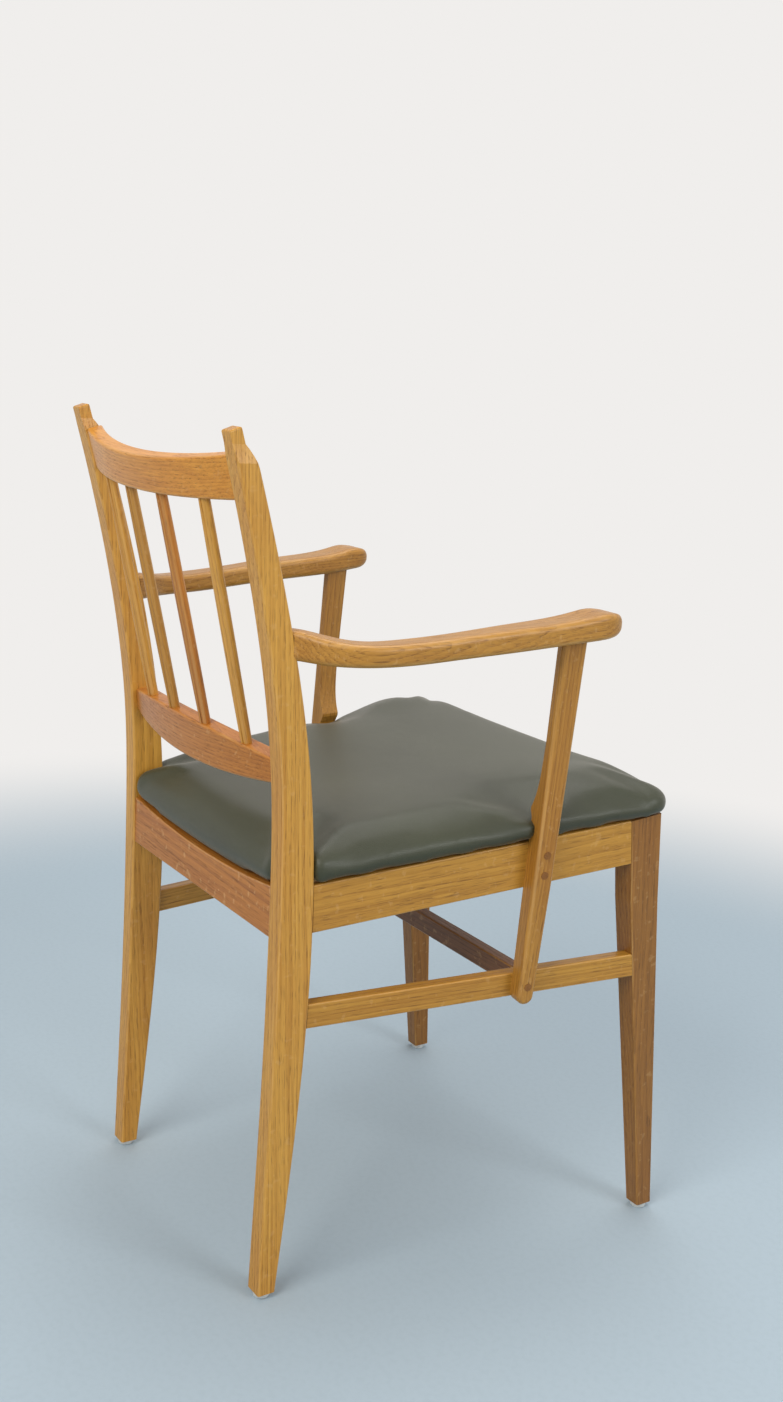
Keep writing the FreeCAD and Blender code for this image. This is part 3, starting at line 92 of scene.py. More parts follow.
class Reading:
    """A shader value whose operators add the Math nodes that the expression needs."""

    def __init__(self, bench: "Bench", socket: bpy.types.NodeSocket) -> None:
        """Keep the bench that the value belongs to, and the socket that gives it."""
        self.bench = bench
        self.socket = socket

    def __add__(self, other: "Number") -> "Reading":
        """Add."""
        return self.bench.maths("ADD", self, other)

    def __radd__(self, other: "Number") -> "Reading":
        """Add to a number."""
        return self.bench.maths("ADD", other, self)

    def __sub__(self, other: "Number") -> "Reading":
        """Take away."""
        return self.bench.maths("SUBTRACT", self, other)

    def __rsub__(self, other: "Number") -> "Reading":
        """Take away from a number."""
        return self.bench.maths("SUBTRACT", other, self)

    def __mul__(self, other: "Number") -> "Reading":
        """Multiply."""
        return self.bench.maths("MULTIPLY", self, other)

    def __rmul__(self, other: "Number") -> "Reading":
        """Multiply a number."""
        return self.bench.maths("MULTIPLY", other, self)

    def __truediv__(self, other: "Number") -> "Reading":
        """Divide."""
        return self.bench.maths("DIVIDE", self, other)

    def __pow__(self, other: "Number") -> "Reading":
        """Raise to a power."""
        return self.bench.maths("POWER", self, other)

    def __abs__(self) -> "Reading":
        """Drop the sign."""
        return self.bench.maths("ABSOLUTE", self)

    def __neg__(self) -> "Reading":
        """Turn the sign."""
        return self.bench.maths("MULTIPLY", self, -1.0)

    def root(self) -> "Reading":
        """Take the square root."""
        return self.bench.maths("SQRT", self)

    def fraction(self) -> "Reading":
        """Keep what stands after the point."""
        return self.bench.maths("FRACT", self)

    def ease(self, start: float, end: float) -> "Reading":
        """Rise smoothly from 0 at start to 1 at end.

        Args:
            start: The value that gives 0.
            end: The value that gives 1; it may be the lower of the two.

        Returns:
            The eased value.
        """
        settings = {"interpolation_type": "SMOOTHSTEP"}
        inputs = {"Value": self, "From Min": start, "From Max": end}
        return Reading(self.bench, self.bench.node("ShaderNodeMapRange", settings, inputs).outputs["Result"])


Number = Union[float, Reading]
Fed = Union[float, Sequence[float], Reading, bpy.types.NodeSocket]


class Bench:
    """The bench that one material is made on."""

    def __init__(self, name: str, world: bpy.types.World | None = None) -> None:
        """Start an empty material, or empty the nodes of a world.

        Args:
            name: The material's name.
            world: The world, where its nodes are made here.
        """
        self.material = world or bpy.data.materials.new(name)
        self.material.use_nodes = True
        self.tree = self.material.node_tree
        self.tree.nodes.clear()
        self.point = self.node("ShaderNodeTexCoord").outputs["Object"]

    def seen(self) -> "Reading":
        """Read 1 where the camera looks, also by way of gloss or glass, and 0 where light is gathered."""
        path = self.node("ShaderNodeLightPath").outputs
        shown = [Reading(self, path[f"Is {kind} Ray"]) for kind in ("Camera", "Glossy", "Transmission")]
        return self.maths("MAXIMUM", self.maths("MAXIMUM", shown[0], shown[1]), shown[2])

    def node(self, kind: str, settings: dict | None = None, inputs: dict | None = None) -> bpy.types.Node:
        """Add any node: its settings are set first, then its sockets get their values or links.

        Args:
            kind: Blender's name for the node's type.
            settings: Properties of the node; "stops" are a ramp's places and colours.
            inputs: Values or links by the socket's name or number.

        Returns:
            The node.
        """
        made = self.tree.nodes.new(kind)
        for key, value in (settings or {}).items():
            if key == "stops":
                for element, (place, colour) in zip(made.color_ramp.elements, value):
                    element.position = place
                    element.color = (*colour, 1)
            else:
                setattr(made, key, value)
        for key, value in (inputs or {}).items():
            self.feed(made.inputs[key], value)
        return made

    def feed(self, socket: bpy.types.NodeSocket, value: Fed) -> None:
        """Link a value to a socket, or set a plain number or colour on it.

        Args:
            socket: The socket to feed.
            value: What it gets.
        """
        if isinstance(value, Reading):
            value = value.socket
        if isinstance(value, bpy.types.NodeSocket):
            self.tree.links.new(value, socket)
        elif isinstance(value, (int, float)):
            socket.default_value = value
        elif len(value) == 3 and len(socket.default_value) == 4:
            socket.default_value = (*value, 1)
        else:
            socket.default_value = value

    def maths(self, operation: str, *values: Number) -> Reading:
        """Add a Math node.

        Args:
            operation: Blender's name for the operation.
            values: One or two values.

        Returns:
            The result.
        """
        made = self.node("ShaderNodeMath", {"operation": operation}, dict(enumerate(values)))
        return Reading(self, made.outputs[0])

    def vector(self, operation: str, first: Fed, second: Fed) -> bpy.types.NodeSocket:
        """Add a Vector Math node that gives a vector.

        Args:
            operation: Blender's name for the operation.
            first: The first vector.
            second: The second vector.

        Returns:
            The resulting vector.
        """
        made = self.node("ShaderNodeVectorMath", {"operation": operation}, {0: first, 1: second})
        return made.outputs["Vector"]

    def along(self, place: Fed, direction: Sequence[float]) -> Reading:
        """Read how far a place lies along a direction."""
        settings = {"operation": "DOT_PRODUCT"}
        made = self.node("ShaderNodeVectorMath", settings, {0: place, 1: tuple(direction)})
        return Reading(self, made.outputs["Value"])

    def join(self, across: Fed, deep: Fed, high: Fed) -> bpy.types.NodeSocket:
        """Make a vector of three values."""
        return self.node("ShaderNodeCombineXYZ", None, {0: across, 1: deep, 2: high}).outputs[0]

    def noise(self, place: Fed, cloud: Cloud) -> Reading:
        """Read a layer of noise.

        Args:
            place: The place, in metres.
            cloud: The layer.

        Returns:
            The noise, about 0.5 on average.
        """
        scaled = self.vector("MULTIPLY", place, cloud.per_metre)
        inputs = {"Vector": scaled, "Scale": 1.0, "Detail": cloud.detail, "Roughness": cloud.rough}
        return Reading(self, self.node("ShaderNodeTexNoise", None, inputs).outputs["Fac"])

    def blend(self, share: Number, first: Fed, second: Fed, how: str = "MIX") -> bpy.types.NodeSocket:
        """Mix two colours.

        Args:
            share: 0 keeps the first, 1 gives the second.
            first: The first colour.
            second: The second colour.
            how: Blender's name for the way of mixing.

        Returns:
            The mixed colour.
        """
        settings = {"data_type": "RGBA", "blend_type": how, "clamp_factor": True}
        return self.node("ShaderNodeMix", settings, {0: share, 6: first, 7: second}).outputs[2]

    def surface(self, uniform: dict[str, Fed], colour: Fed, rough: Number, height: Number | None) -> None:
        """Finish the material with one shader.

        Args:
            uniform: Values that are the same all over, by socket.
            colour: The surface's colour.
            rough: Its roughness.
            height: Its relief in metres, or None for a smooth one.
        """
        inputs = {"Base Color": colour, "Roughness": rough, **uniform}
        if height is not None:
            bump = self.node("ShaderNodeBump", None, {"Strength": 1.0, "Distance": 1.0, "Height": height})
            inputs["Normal"] = bump.outputs["Normal"]
        shader = self.node("ShaderNodeBsdfPrincipled", None, inputs)
        self.node("ShaderNodeOutputMaterial", None, {"Surface": shader.outputs["BSDF"]})


@dataclass(frozen=True)
class Oak:
    """Lacquered oak, sawn along one direction of the tree."""

    grain: Triple
    pith: tuple[float, float]
    tone: Tone = Tone.HONEY
    seed: float = 0.0
    ring: float = 0.0034
    rays: float = 0.16
    fleck_colour: Triple = srgb(226, 184, 124)
    # Colour of the lightened edges: partly rubbed wear, partly a painted highlight.
    wear_and_highlight_colour: Triple = srgb(228, 180, 112)
    warmth: Triple = (1.0, 0.88, 0.74)
    end_grain: Triple = (0.66, 0.54, 0.42)
    bending: Cloud = Cloud((2.6, 11.0, 11.0))
    crowding: Cloud = Cloud((0.7, 58.0, 58.0))
    good_years: Cloud = Cloud((1.1, 150.0, 150.0))
    fibres: Cloud = Cloud((8.0, 420.0, 420.0), 4.0, 0.66)
    streaks: Cloud = Cloud((3.0, 170.0, 170.0), 3.0, 0.6)
    vessels: Cloud = Cloud((62.0, 1150.0, 1150.0), 1.0)
    flecks: Cloud = Cloud((150.0, 900.0, 120.0))
    patches: Cloud = Cloud((4.0, 20.0, 20.0), 3.0)

    def material(self, name: str, centre: Vector) -> bpy.types.Material:
        """Make the wood of one piece.

        Args:
            name: The piece that it is for.
            centre: The middle of the piece, from which the tree's pith is placed.

        Returns:
            The material.
        """
        bench = Bench(f"oak_{name}")
        length = Vector(self.grain).normalized()
        aside = Vector((0.0, 0.0, 1.0)) if abs(length.z) < 0.7 else Vector((0.0, 1.0, 0.0))
        side = length.cross(aside).normalized()
        depth = length.cross(side)
        u = bench.along(bench.point, length)
        v = bench.along(bench.point, side)
        w = bench.along(bench.point, depth)
        place = bench.join(u + self.seed, v + 0.7 * self.seed, w)
        sway = bench.noise(place, self.bending) - 0.5
        across = v - (centre.dot(side) + self.pith[0]) + sway * 0.016
        deep = w - (centre.dot(depth) + self.pith[1])
        crowd = bench.noise(place, self.crowding)
        growth = (across * across + deep * deep).root() / self.ring + crowd * 2.6
        early = (1.0 - growth.fraction()) ** 2.0
        year = bench.noise(place, self.good_years)
        fibre = bench.noise(place, self.fibres)
        streak = bench.noise(place, self.streaks)
        pores = bench.noise(place, self.vessels).ease(0.54, 0.66)
        pores = pores * (0.30 + 0.70 * early)
        ray = bench.noise(place, self.flecks).ease(0.60, 0.72)
        cloud = bench.noise(place, self.patches)
        pale, dark, pore = self.tone.value
        shade = early * (0.10 + 0.62 * year) + 0.22
        shade = shade + (fibre - 0.5) * 1.2 + (streak - 0.5) * 0.9 + (cloud - 0.5) * 0.7
        colour = bench.blend(shade, pale, dark)
        colour = bench.blend(pores * 0.55, colour, pore)
        colour = bench.blend(ray * self.rays, colour, self.fleck_colour)
        warm = cloud.ease(0.40, 0.66) * 0.30
        colour = bench.blend(warm, colour, self.warmth, "MULTIPLY")
        normal = bench.node("ShaderNodeNewGeometry").outputs["Normal"]
        facing = bench.along(normal, length)
        ending = abs(facing).ease(0.80, 0.97) * 0.50
        colour = bench.blend(ending, colour, self.end_grain, "MULTIPLY")
        # Lighten the rounded arrises: partly rubbed wear, partly a painted highlight along the edges.
        arris = (abs(bench.along(normal, side)) * abs(bench.along(normal, depth))).ease(0.20, 0.48)
        wear_and_highlight = arris * (0.25 + 0.75 * streak.ease(0.40, 0.62)) * 0.34
        colour = bench.blend(wear_and_highlight, colour, self.wear_and_highlight_colour)
        rough = 0.34 + fibre * 0.10 + pores * 0.16 + (cloud - 0.5) * 0.10
        height = pores * -0.00006 + early * -0.000012 + fibre * 0.00003
        lacquer = {"Coat Weight": 0.12, "Coat Roughness": 0.26, "Coat IOR": 1.48, "Specular IOR Level": 0.34}
        bench.surface(lacquer, colour, rough, height)
        return bench.material


@dataclass(frozen=True)
class Leather:
    """Olive leather with a fine pebble and a soft sheen."""

    face: Triple = srgb(52, 56, 32)
    shade: Triple = srgb(42, 45, 26)
    worn: Triple = srgb(84, 86, 64)
    pebbles_per_metre: float = 620.0
    mottling: Cloud = Cloud((7.0, 7.0, 7.0), 4.0, 0.55)
    wandering: Cloud = Cloud((260.0, 260.0, 260.0))
    graining: Cloud = Cloud((1500.0, 1500.0, 1500.0))
    scuffing: Cloud = Cloud((38.0, 120.0, 60.0), 4.0, 0.62)

    def material(self, name: str) -> bpy.types.Material:
        """Make the leather.

        Args:
            name: The piece that it is for.

        Returns:
            The material.
        """
        bench = Bench(f"leather_{name}")
        drift = bench.noise(bench.point, self.mottling)
        wander = bench.noise(bench.point, self.wandering)
        shift = bench.join(wander * 0.0007, wander * 0.0005, wander * 0.0006)
        inputs = {"Vector": bench.vector("ADD", bench.point, shift), "Scale": self.pebbles_per_metre}
        crackle = bench.node("ShaderNodeTexVoronoi", {"feature": "DISTANCE_TO_EDGE"}, inputs)
        crease = Reading(bench, crackle.outputs["Distance"]).ease(0.16, 0.02)
        fine = bench.noise(bench.point, self.graining)
        scuff = bench.noise(bench.point, self.scuffing).ease(0.55, 0.76)
        colour = bench.blend(drift.ease(0.35, 0.68) * 0.55, self.face, self.shade)
        colour = bench.blend(crease * 0.30, colour, self.shade)
        colour = bench.blend(scuff * 0.10, colour, self.worn)
        rough = 0.43 + (drift - 0.5) * 0.12 + crease * 0.08 + scuff * 0.05
        height = crease * -0.00008 + fine * 0.00002 + drift * 0.0006
        finish = {
            "Specular IOR Level": 0.5,
            "Sheen Weight": 0.20,
            "Sheen Roughness": 0.36,
            "Sheen Tint": (1.0, 0.90, 0.76, 1.0),
            "Coat Weight": 0.14,
            "Coat Roughness": 0.34,
        }
        bench.surface(finish, colour, rough, height)
        return bench.material


@dataclass(frozen=True)
class Beech:
    """Plain pale beech with short flecks, for dowels and glue blocks."""

    pale: Triple = srgb(214, 178, 134)
    dark: Triple = srgb(186, 144, 100)
    fleck: Triple = srgb(150, 106, 68)
    patches: Cloud = Cloud((70.0, 70.0, 22.0), 3.0)
    fibres: Cloud = Cloud((700.0, 700.0, 60.0))
    flecks: Cloud = Cloud((900.0, 900.0, 260.0), 1.0)

    def material(self, name: str) -> bpy.types.Material:
        """Make the beech.

        Args:
            name: The piece that it is for.

        Returns:
            The material.
        """
        bench = Bench(f"beech_{name}")
        cloud = bench.noise(bench.point, self.patches)
        fibre = bench.noise(bench.point, self.fibres)
        fleck = bench.noise(bench.point, self.flecks).ease(0.62, 0.72)
        colour = bench.blend(cloud * 0.6 + fibre * 0.4, self.pale, self.dark)
        colour = bench.blend(fleck * 0.5, colour, self.fleck)
        bench.surface({"Specular IOR Level": 0.35}, colour, 0.55 + fibre * 0.12, fibre * 0.00004)
        return bench.material


@dataclass(frozen=True)
class Plywood:
    """Moulded birch plywood, whose veneers show at the edge."""

    ply: float = 0.0015
    pale: Triple = srgb(212, 180, 132)
    dark: Triple = srgb(156, 114, 72)
    across_plies: Triple = (0.0, 0.0947, 1.0)
    fibres: Cloud = Cloud((14.0, 420.0, 420.0), 3.0)

    def material(self, name: str) -> bpy.types.Material:
        """Make the plywood.

        Args:
            name: The piece that it is for.

        Returns:
            The material.
        """
        bench = Bench(f"plywood_{name}")
        rise = bench.along(bench.point, self.across_plies)
        layer = (rise / (2.0 * self.ply)).fraction().ease(0.42, 0.58)
        normal = bench.node("ShaderNodeNewGeometry").outputs["Normal"]
        edge = abs(bench.along(normal, (0.0, 0.0, 1.0))).ease(0.75, 0.45)
        fibre = bench.noise(bench.point, self.fibres)
        colour = bench.blend(fibre * 0.7, self.pale, self.dark)
        colour = bench.blend(edge * layer * 0.7, colour, self.dark)
        bench.surface({"Specular IOR Level": 0.3}, colour, 0.6 + fibre * 0.15, fibre * 0.00005)
        return bench.material


@dataclass(frozen=True)
class Nylon:
    """Milky nylon of the glides, scuffed by the floor."""

    clean: Triple = srgb(206, 208, 204)
    scuffed: Triple = srgb(150, 150, 146)
    floor_wear: float = 0.0035
    scuffing: Cloud = Cloud((520.0, 160.0, 900.0), 4.0, 0.65)

    def material(self, name: str) -> bpy.types.Material:
        """Make the nylon.

        Args:
            name: The piece that it is for.

        Returns:
            The material.
        """
        bench = Bench(f"nylon_{name}")
        scuff = bench.noise(bench.point, self.scuffing).ease(0.48, 0.72)
        low = bench.along(bench.point, (0.0, 0.0, 1.0)).ease(self.floor_wear, 0.0)
        colour = bench.blend(scuff * (0.25 + 0.6 * low), self.clean, self.scuffed)
        bench.surface({"Specular IOR Level": 0.5}, colour, 0.38 + scuff * 0.25, scuff * -0.00004)
        return bench.material


def pieces_named(*names: str) -> list[str]:
    """Give each name with its right and left ending."""
    return [f"{name}_{hand}" for name in names for hand in ("right", "left")]


def dress(name: str, material: bpy.types.Material) -> None:
    """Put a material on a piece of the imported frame.

    Args:
        name: The piece.
        material: Its finish.
    """
    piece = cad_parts[name]
    piece.data.materials.clear()
    piece.data.materials.append(material)
    LOG.info("dressed %s in %s", name, material.name)


def middle(name: str) -> Vector:
    """Give the middle of a piece's box."""
    low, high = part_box(name)
    return (Vector(low) + Vector(high)) / 2


@dataclass
class Joinery:
    """Oak pieces that are dressed as one sub-assembly."""

    boards: dict[str, Oak] = field(default_factory=dict)

    def dress_all(self) -> None:
        """Dress each board in its own cut of oak."""
        for name, oak in self.boards.items():
            dress(name, oak.material(name, middle(name)))


@dataclass
class Back(Joinery):
    """Two posts, the crest rail, the lower rail and four spindles."""

    spindle_lean: float = 0.238
    upright: Triple = (0.0, 0.045, 1.0)
    across: Triple = (1.0, 0.0, 0.0)

    def __post_init__(self) -> None:
        """Choose the cut of each board."""
        self.boards["back_post_right"] = Oak(self.upright, (0.034, 0.052), Tone.HONEY, 0.31)
        self.boards["back_post_left"] = Oak(self.upright, (-0.041, 0.047), Tone.HONEY, 1.73)
        self.boards["crest_rail"] = Oak(self.across, (0.028, 0.061), Tone.APRICOT, 2.91)
        self.boards["lower_back_rail"] = Oak(self.across, (0.012, 0.054), Tone.RUSSET, 4.07, rays=0.22)
        tones = (Tone.HONEY, Tone.RUSSET, Tone.TAN, Tone.HONEY)
        for number, tone in enumerate(tones, start=1):
            pith = (0.02 + 0.006 * number, 0.03 - 0.004 * number)
            spindle = Oak((0.0, self.spindle_lean, 1.0), pith, tone, 5.3 + number)
            self.boards[f"back_spindle_{number}"] = spindle


@dataclass
class Underframe(Joinery):
    """Front legs, seat rails and stretchers."""

    leg_rake: float = -0.05
    rail_spread: float = 0.135
    rail_rise: float = -0.0947
    stretcher_rise: float = -0.01

    def __post_init__(self) -> None:
        """Choose the cut of each board."""
        across = (1.0, 0.0, 0.0)
        for hand, side in (("right", 1.0), ("left", -1.0)):
            run = (self.rail_spread * side, 1.0, self.rail_rise)
            level = (self.rail_spread * side, 1.0, self.stretcher_rise)
            down = (0.0, self.leg_rake, -1.0)
            # The front legs take a cast darkened with painted shade.
            self.boards[f"front_leg_{hand}"] = Oak(down, (0.045 * side, 0.03), Tone.CHESTNUT, 11 + side)
            self.boards[f"seat_rail_{hand}"] = Oak(run, (0.05 * side, 0.02), Tone.GOLD, 14 + side)
            self.boards[f"side_stretcher_{hand}"] = Oak(level, (0.03 * side, 0.045), Tone.GOLD, 17 + side)
        self.boards["seat_rail_rear"] = Oak(across, (0.05, 0.012), Tone.RUSSET, 20.4, rays=0.36)
        self.boards["seat_rail_front"] = Oak(across, (0.045, -0.02), Tone.GOLD, 22.8)
        # The cross stretcher's cast is partly its own colour, partly painted shade under the seat.
        self.boards["cross_stretcher"] = Oak(across, (0.03, 0.03), Tone.UMBER, 24.1)


@dataclass
class Arms(Joinery):
    """Two armrests, the supports that carry them, and the plugs in the supports."""

    arm_swing: float = 0.26
    arm_rise: float = -0.04
    support_lean: float = -0.06

    def __post_init__(self) -> None:
        """Choose the cut of each board."""
        for hand, side in (("right", 1.0), ("left", -1.0)):
            run = (self.arm_swing * side, 1.0, self.arm_rise)
            self.boards[f"armrest_{hand}"] = Oak(run, (0.032 * side, 0.04), Tone.TAN, 27 + side, 0.0028, 0.2)
            upright = (0.0, self.support_lean, 1.0)
            self.boards[f"arm_support_{hand}"] = Oak(upright, (0.03 * side, -0.035), Tone.TAN, 31 + side)
            # The plugs share the front legs' cast, which is darkened with painted shade.
            plug = Oak((1.0, 0.0, 0.0), (0.01, 0.012), Tone.CHESTNUT, 35 + side, 0.0016)
            self.boards[f"support_plugs_{hand}"] = plug


@dataclass
class Fittings:
    """Glides, dowels, glue blocks and the board under the pad."""

    glides: list[str] = field(default_factory=lambda: pieces_named("glide_rear", "glide_front"))
    pegs: list[str] = field(default_factory=lambda: pieces_named("rail_dowels", "small_dowels"))
    blocks: list[str] = field(default_factory=lambda: pieces_named("corner_block_rear", "corner_block_front"))

    def dress_all(self) -> None:
        """Dress each fitting."""
        nylon = Nylon().material("glides")
        peg = Beech().material("dowels")
        block = Beech(srgb(206, 168, 122), srgb(176, 132, 88)).material("blocks")
        for names, material in ((self.glides, nylon), (self.pegs, peg), (self.blocks, block)):
            for name in names:
                dress(name, material)
        dress("seat_board", Plywood().material("seat_board"))


@dataclass(frozen=True)
class Swelling:
    """A soft rise or dip of the pad's top, alike on both hands."""

    centre: tuple[float, float]
    spread: tuple[float, float]
    height: float

    def over(self, across: np.ndarray, along: np.ndarray) -> np.ndarray:
        """Give the rise at each place.

        Args:
            across: How far each place is from the chair's middle.
            along: Where it is from front to back.

        Returns:
            The rise.
        """
        sideways = (across - self.centre[0]) / self.spread[0]
        lengthways = (along - self.centre[1]) / self.spread[1]
        return self.height * np.exp(-(sideways**2 + lengthways**2))


@dataclass
class SeatPad:
    """The padded seat: foam on the moulded board, covered in leather that is drawn under its edge."""

    node: str = "seat_pad"
    voxel: float = 0.0045
    start_smaller: float = 0.0014
    pressure: float = 4.0
    last_frame: int = 20
    most_swelling: float = 0.0055
    neighbour_gap: float = 0.0005
    drawn_in: float = 0.0030
    drawn_height: float = 0.012
    fill: float = 0.7
    easing: int = 11
    front_y: float = -0.2315
    rim_height: float = 0.4350
    rim_slope: float = 0.0947
    thickness: float = 0.0375
    roll_reach: float = 0.030
    roll_drop: float = 0.0022
    crown_reach: float = 0.11
    crown: float = 0.0062
    belly: float = 0.0046
    notch: tuple[float, float] = (0.200, -0.064)
    notch_spread: float = 0.022
    notch_bulge: float = 0.0050
    swellings: tuple[Swelling, ...] = (
        Swelling((0.178, -0.142), (0.040, 0.036), 0.0042),
        Swelling((0.200, -0.214), (0.032, 0.030), -0.0046),
        Swelling((0.182, -0.076), (0.020, 0.018), -0.0042),
        Swelling((0.162, -0.056), (0.026, 0.014), -0.0022),
    )
    upright: float = 0.3
    facing_down: float = -0.35
    quality: int = 5
    cover_mass: float = 0.3
    stretch_stiffness: float = 14.0
    bend_stiffness: float = 0.6
    cell: float = 0.02
    search: float = 0.004

    def make(self) -> bpy.types.Object:
        """Make, swell and dress the pad.

        Returns:
            The finished pad.
        """
        pad = self.remeshed()
        self.stuff(pad)
        self.swell(pad)
        self.draw_in(pad)
        self.relax(pad)
        self.keep_clear(pad)
        self.refine(pad)
        pad.data.materials.clear()
        pad.data.materials.append(Leather().material("seat_pad"))
        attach(pad, "root")
        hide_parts(self.node)
        LOG.info("made %s with %d points", pad.name, len(pad.data.vertices))
        return pad

    def remeshed(self) -> bpy.types.Object:
        """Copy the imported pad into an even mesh, a little smaller than it."""
        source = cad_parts[self.node]
        pad = bpy.data.objects.new("seat_cushion", source.data.copy())
        bpy.context.scene.collection.objects.link(pad)
        pad.matrix_world = source.matrix_world.copy()
        remesh = pad.modifiers.new("even", "REMESH")
        remesh.mode = "VOXEL"
        remesh.voxel_size = self.voxel
        self.apply(pad)
        places, normals = self.read(pad)
        self.write(pad, places - normals * self.start_smaller)
        return pad

    def stuff(self, pad: bpy.types.Object) -> None:
        """Give the pad the roundness of foam: a crown, rolled edges, and a dip at each arm support.

        Args:
            pad: The even mesh.
        """
        places, normals = self.read(pad)
        level = np.hypot(normals[:, 0], normals[:, 1])
        sides = np.flatnonzero(abs(normals[:, 2]) < self.upright)
        tree = KDTree(len(sides))
        for index in sides:
            tree.insert((places[index, 0], places[index, 1], 0.0), int(index))
        tree.balance()
        inward = np.array([tree.find((x, y, 0.0))[2] for x, y, _ in places])
        base = self.rim_height - self.rim_slope * (places[:, 1] - self.front_y)
        share = np.clip((places[:, 2] - base) / self.thickness, 0.0, 1.0)
        lifted = share * share * (3.0 - 2.0 * share)
        rolled = np.clip(1.0 - inward / self.roll_reach, 0.0, 1.0) ** 2
        crowned = 1.0 - np.clip(1.0 - inward / self.crown_reach, 0.0, 1.0) ** 2
        rise = self.crown * crowned - self.roll_drop * rolled
        across = abs(places[:, 0])
        for swelling in self.swellings:
            rise += swelling.over(across, places[:, 1])
        places[:, 2] += rise * lifted
        bulge = Swelling(self.notch, (self.notch_spread, self.notch_spread), self.notch_bulge)
        belly = (self.belly + bulge.over(across, places[:, 1])) * np.sin(math.pi * share) * level
        places[:, 0] += normals[:, 0] * belly
        places[:, 1] += normals[:, 1] * belly
        self.write(pad, places)

    def apply(self, pad: bpy.types.Object) -> None:
        """Turn the pad's modifiers into its mesh."""
        evaluated = pad.evaluated_get(bpy.context.evaluated_depsgraph_get())
        mesh = bpy.data.meshes.new_from_object(evaluated)
        pad.modifiers.clear()
        pad.data = mesh

    def read(self, pad: bpy.types.Object) -> tuple[np.ndarray, np.ndarray]:
        """Read the places and the normals of the pad's points."""
        count = len(pad.data.vertices)
        places = np.empty(count * 3)
        normals = np.empty(count * 3)
        pad.data.vertices.foreach_get("co", places)
        pad.data.vertices.foreach_get("normal", normals)
        return places.reshape(-1, 3), normals.reshape(-1, 3)

    def write(self, pad: bpy.types.Object, places: np.ndarray) -> None:
        """Move the pad's points to new places."""
        pad.data.vertices.foreach_set("co", places.ravel())
        pad.data.update()

    def swell(self, pad: bpy.types.Object) -> None:
        """Blow the cover up like foam under leather, with its underside held.

        Args:
            pad: The even mesh.
        """
        start, normals = self.read(pad)
        held = pad.vertex_groups.new(name="underside")
        held.add([int(i) for i in np.flatnonzero(normals[:, 2] < self.facing_down)], 1.0, "REPLACE")
        cloth = pad.modifiers.new("swell", "CLOTH")
        cloth.settings.quality = self.quality
        cloth.settings.mass = self.cover_mass
        cloth.settings.tension_stiffness = self.stretch_stiffness
        cloth.settings.compression_stiffness = self.stretch_stiffness
        cloth.settings.bending_stiffness = self.bend_stiffness
        cloth.settings.use_pressure = True
        cloth.settings.uniform_pressure_force = self.pressure
        cloth.settings.vertex_group_mass = held.name
        cloth.settings.effector_weights.gravity = 0.0
        cloth.point_cache.frame_start = 1
        cloth.point_cache.frame_end = self.last_frame
        for number in range(1, self.last_frame + 1):
            bpy.context.scene.frame_set(number)
        self.apply(pad)
        bpy.context.scene.frame_set(1)
        ended, _ = self.read(pad)
        moved = ended - start
        length = np.linalg.norm(moved, axis=1)
        share = np.minimum(1.0, self.most_swelling / np.maximum(length, 1e-9))
        self.write(pad, start + moved * share[:, None])

    def draw_in(self, pad: bpy.types.Object) -> None:
        """Pull the sides in towards the lower edge, where the cover is tacked under the board.

        Args:
            pad: The swollen pad.
        """
        places, normals = self.read(pad)
        lowest = self.underside(places)
        above = np.clip((places[:, 2] - lowest) / self.drawn_height, 0.0, 1.0)
        flat = np.hypot(normals[:, 0], normals[:, 1])
        pull = self.drawn_in * (1.0 - above) ** 2 * flat
        places[:, 0] -= normals[:, 0] * pull
        places[:, 1] -= normals[:, 1] * pull
        self.write(pad, places)

    def underside(self, places: np.ndarray) -> np.ndarray:
        """Find the height of the pad's underside below each point, from the lowest points nearby."""
        keys = np.floor(places[:, :2] / self.cell).astype(int)
        lowest: dict[tuple[int, int], float] = {}
        for key, height in zip(map(tuple, keys), places[:, 2]):
            lowest[key] = min(lowest.get(key, math.inf), height)
        steps = [(i, j) for i in (-1, 0, 1) for j in (-1, 0, 1)]
        near = [min(lowest.get((a + i, b + j), math.inf) for i, j in steps) for a, b in map(tuple, keys)]
        return np.array(near)

    def keep_clear(self, pad: bpy.types.Object) -> None:
        """Push points out of the posts, the supports and the seat rails.

        Args:
            pad: The shaped pad.
        """
        names = pieces_named("back_post", "arm_support", "seat_rail", "front_leg")
        names += ["seat_rail_rear", "seat_rail_front", "lower_back_rail", "seat_board"]
        trees = []
        for name in names:
            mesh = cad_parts[name].data
            corners = [vertex.co for vertex in mesh.vertices]
            faces = [tuple(polygon.vertices) for polygon in mesh.polygons]
            trees.append(BVHTree.FromPolygons(corners, faces))
        for vertex in pad.data.vertices:
            for tree in trees:
                place, normal, _, distance = tree.find_nearest(vertex.co, self.search)
                if place is None:
                    continue
                inside = (vertex.co - place).dot(normal) < 0
                if inside or distance < self.neighbour_gap:
                    vertex.co = place + normal * self.neighbour_gap
        pad.data.update()

    def relax(self, pad: bpy.types.Object) -> None:
        """Ease ridges out of the cover.

        Args:
            pad: The shaped pad.
        """
        relax = pad.modifiers.new("relax", "SMOOTH")
        relax.factor = 0.5
        relax.iterations = self.easing
        self.apply(pad)

    def refine(self, pad: bpy.types.Object) -> None:
        """Divide the mesh once and shade it smooth.

        Args:
            pad: The shaped pad.
        """
        refine = pad.modifiers.new("refine", "SUBSURF")
        refine.levels = 1
        refine.render_levels = 1
        self.apply(pad)
        pad.data.shade_smooth()


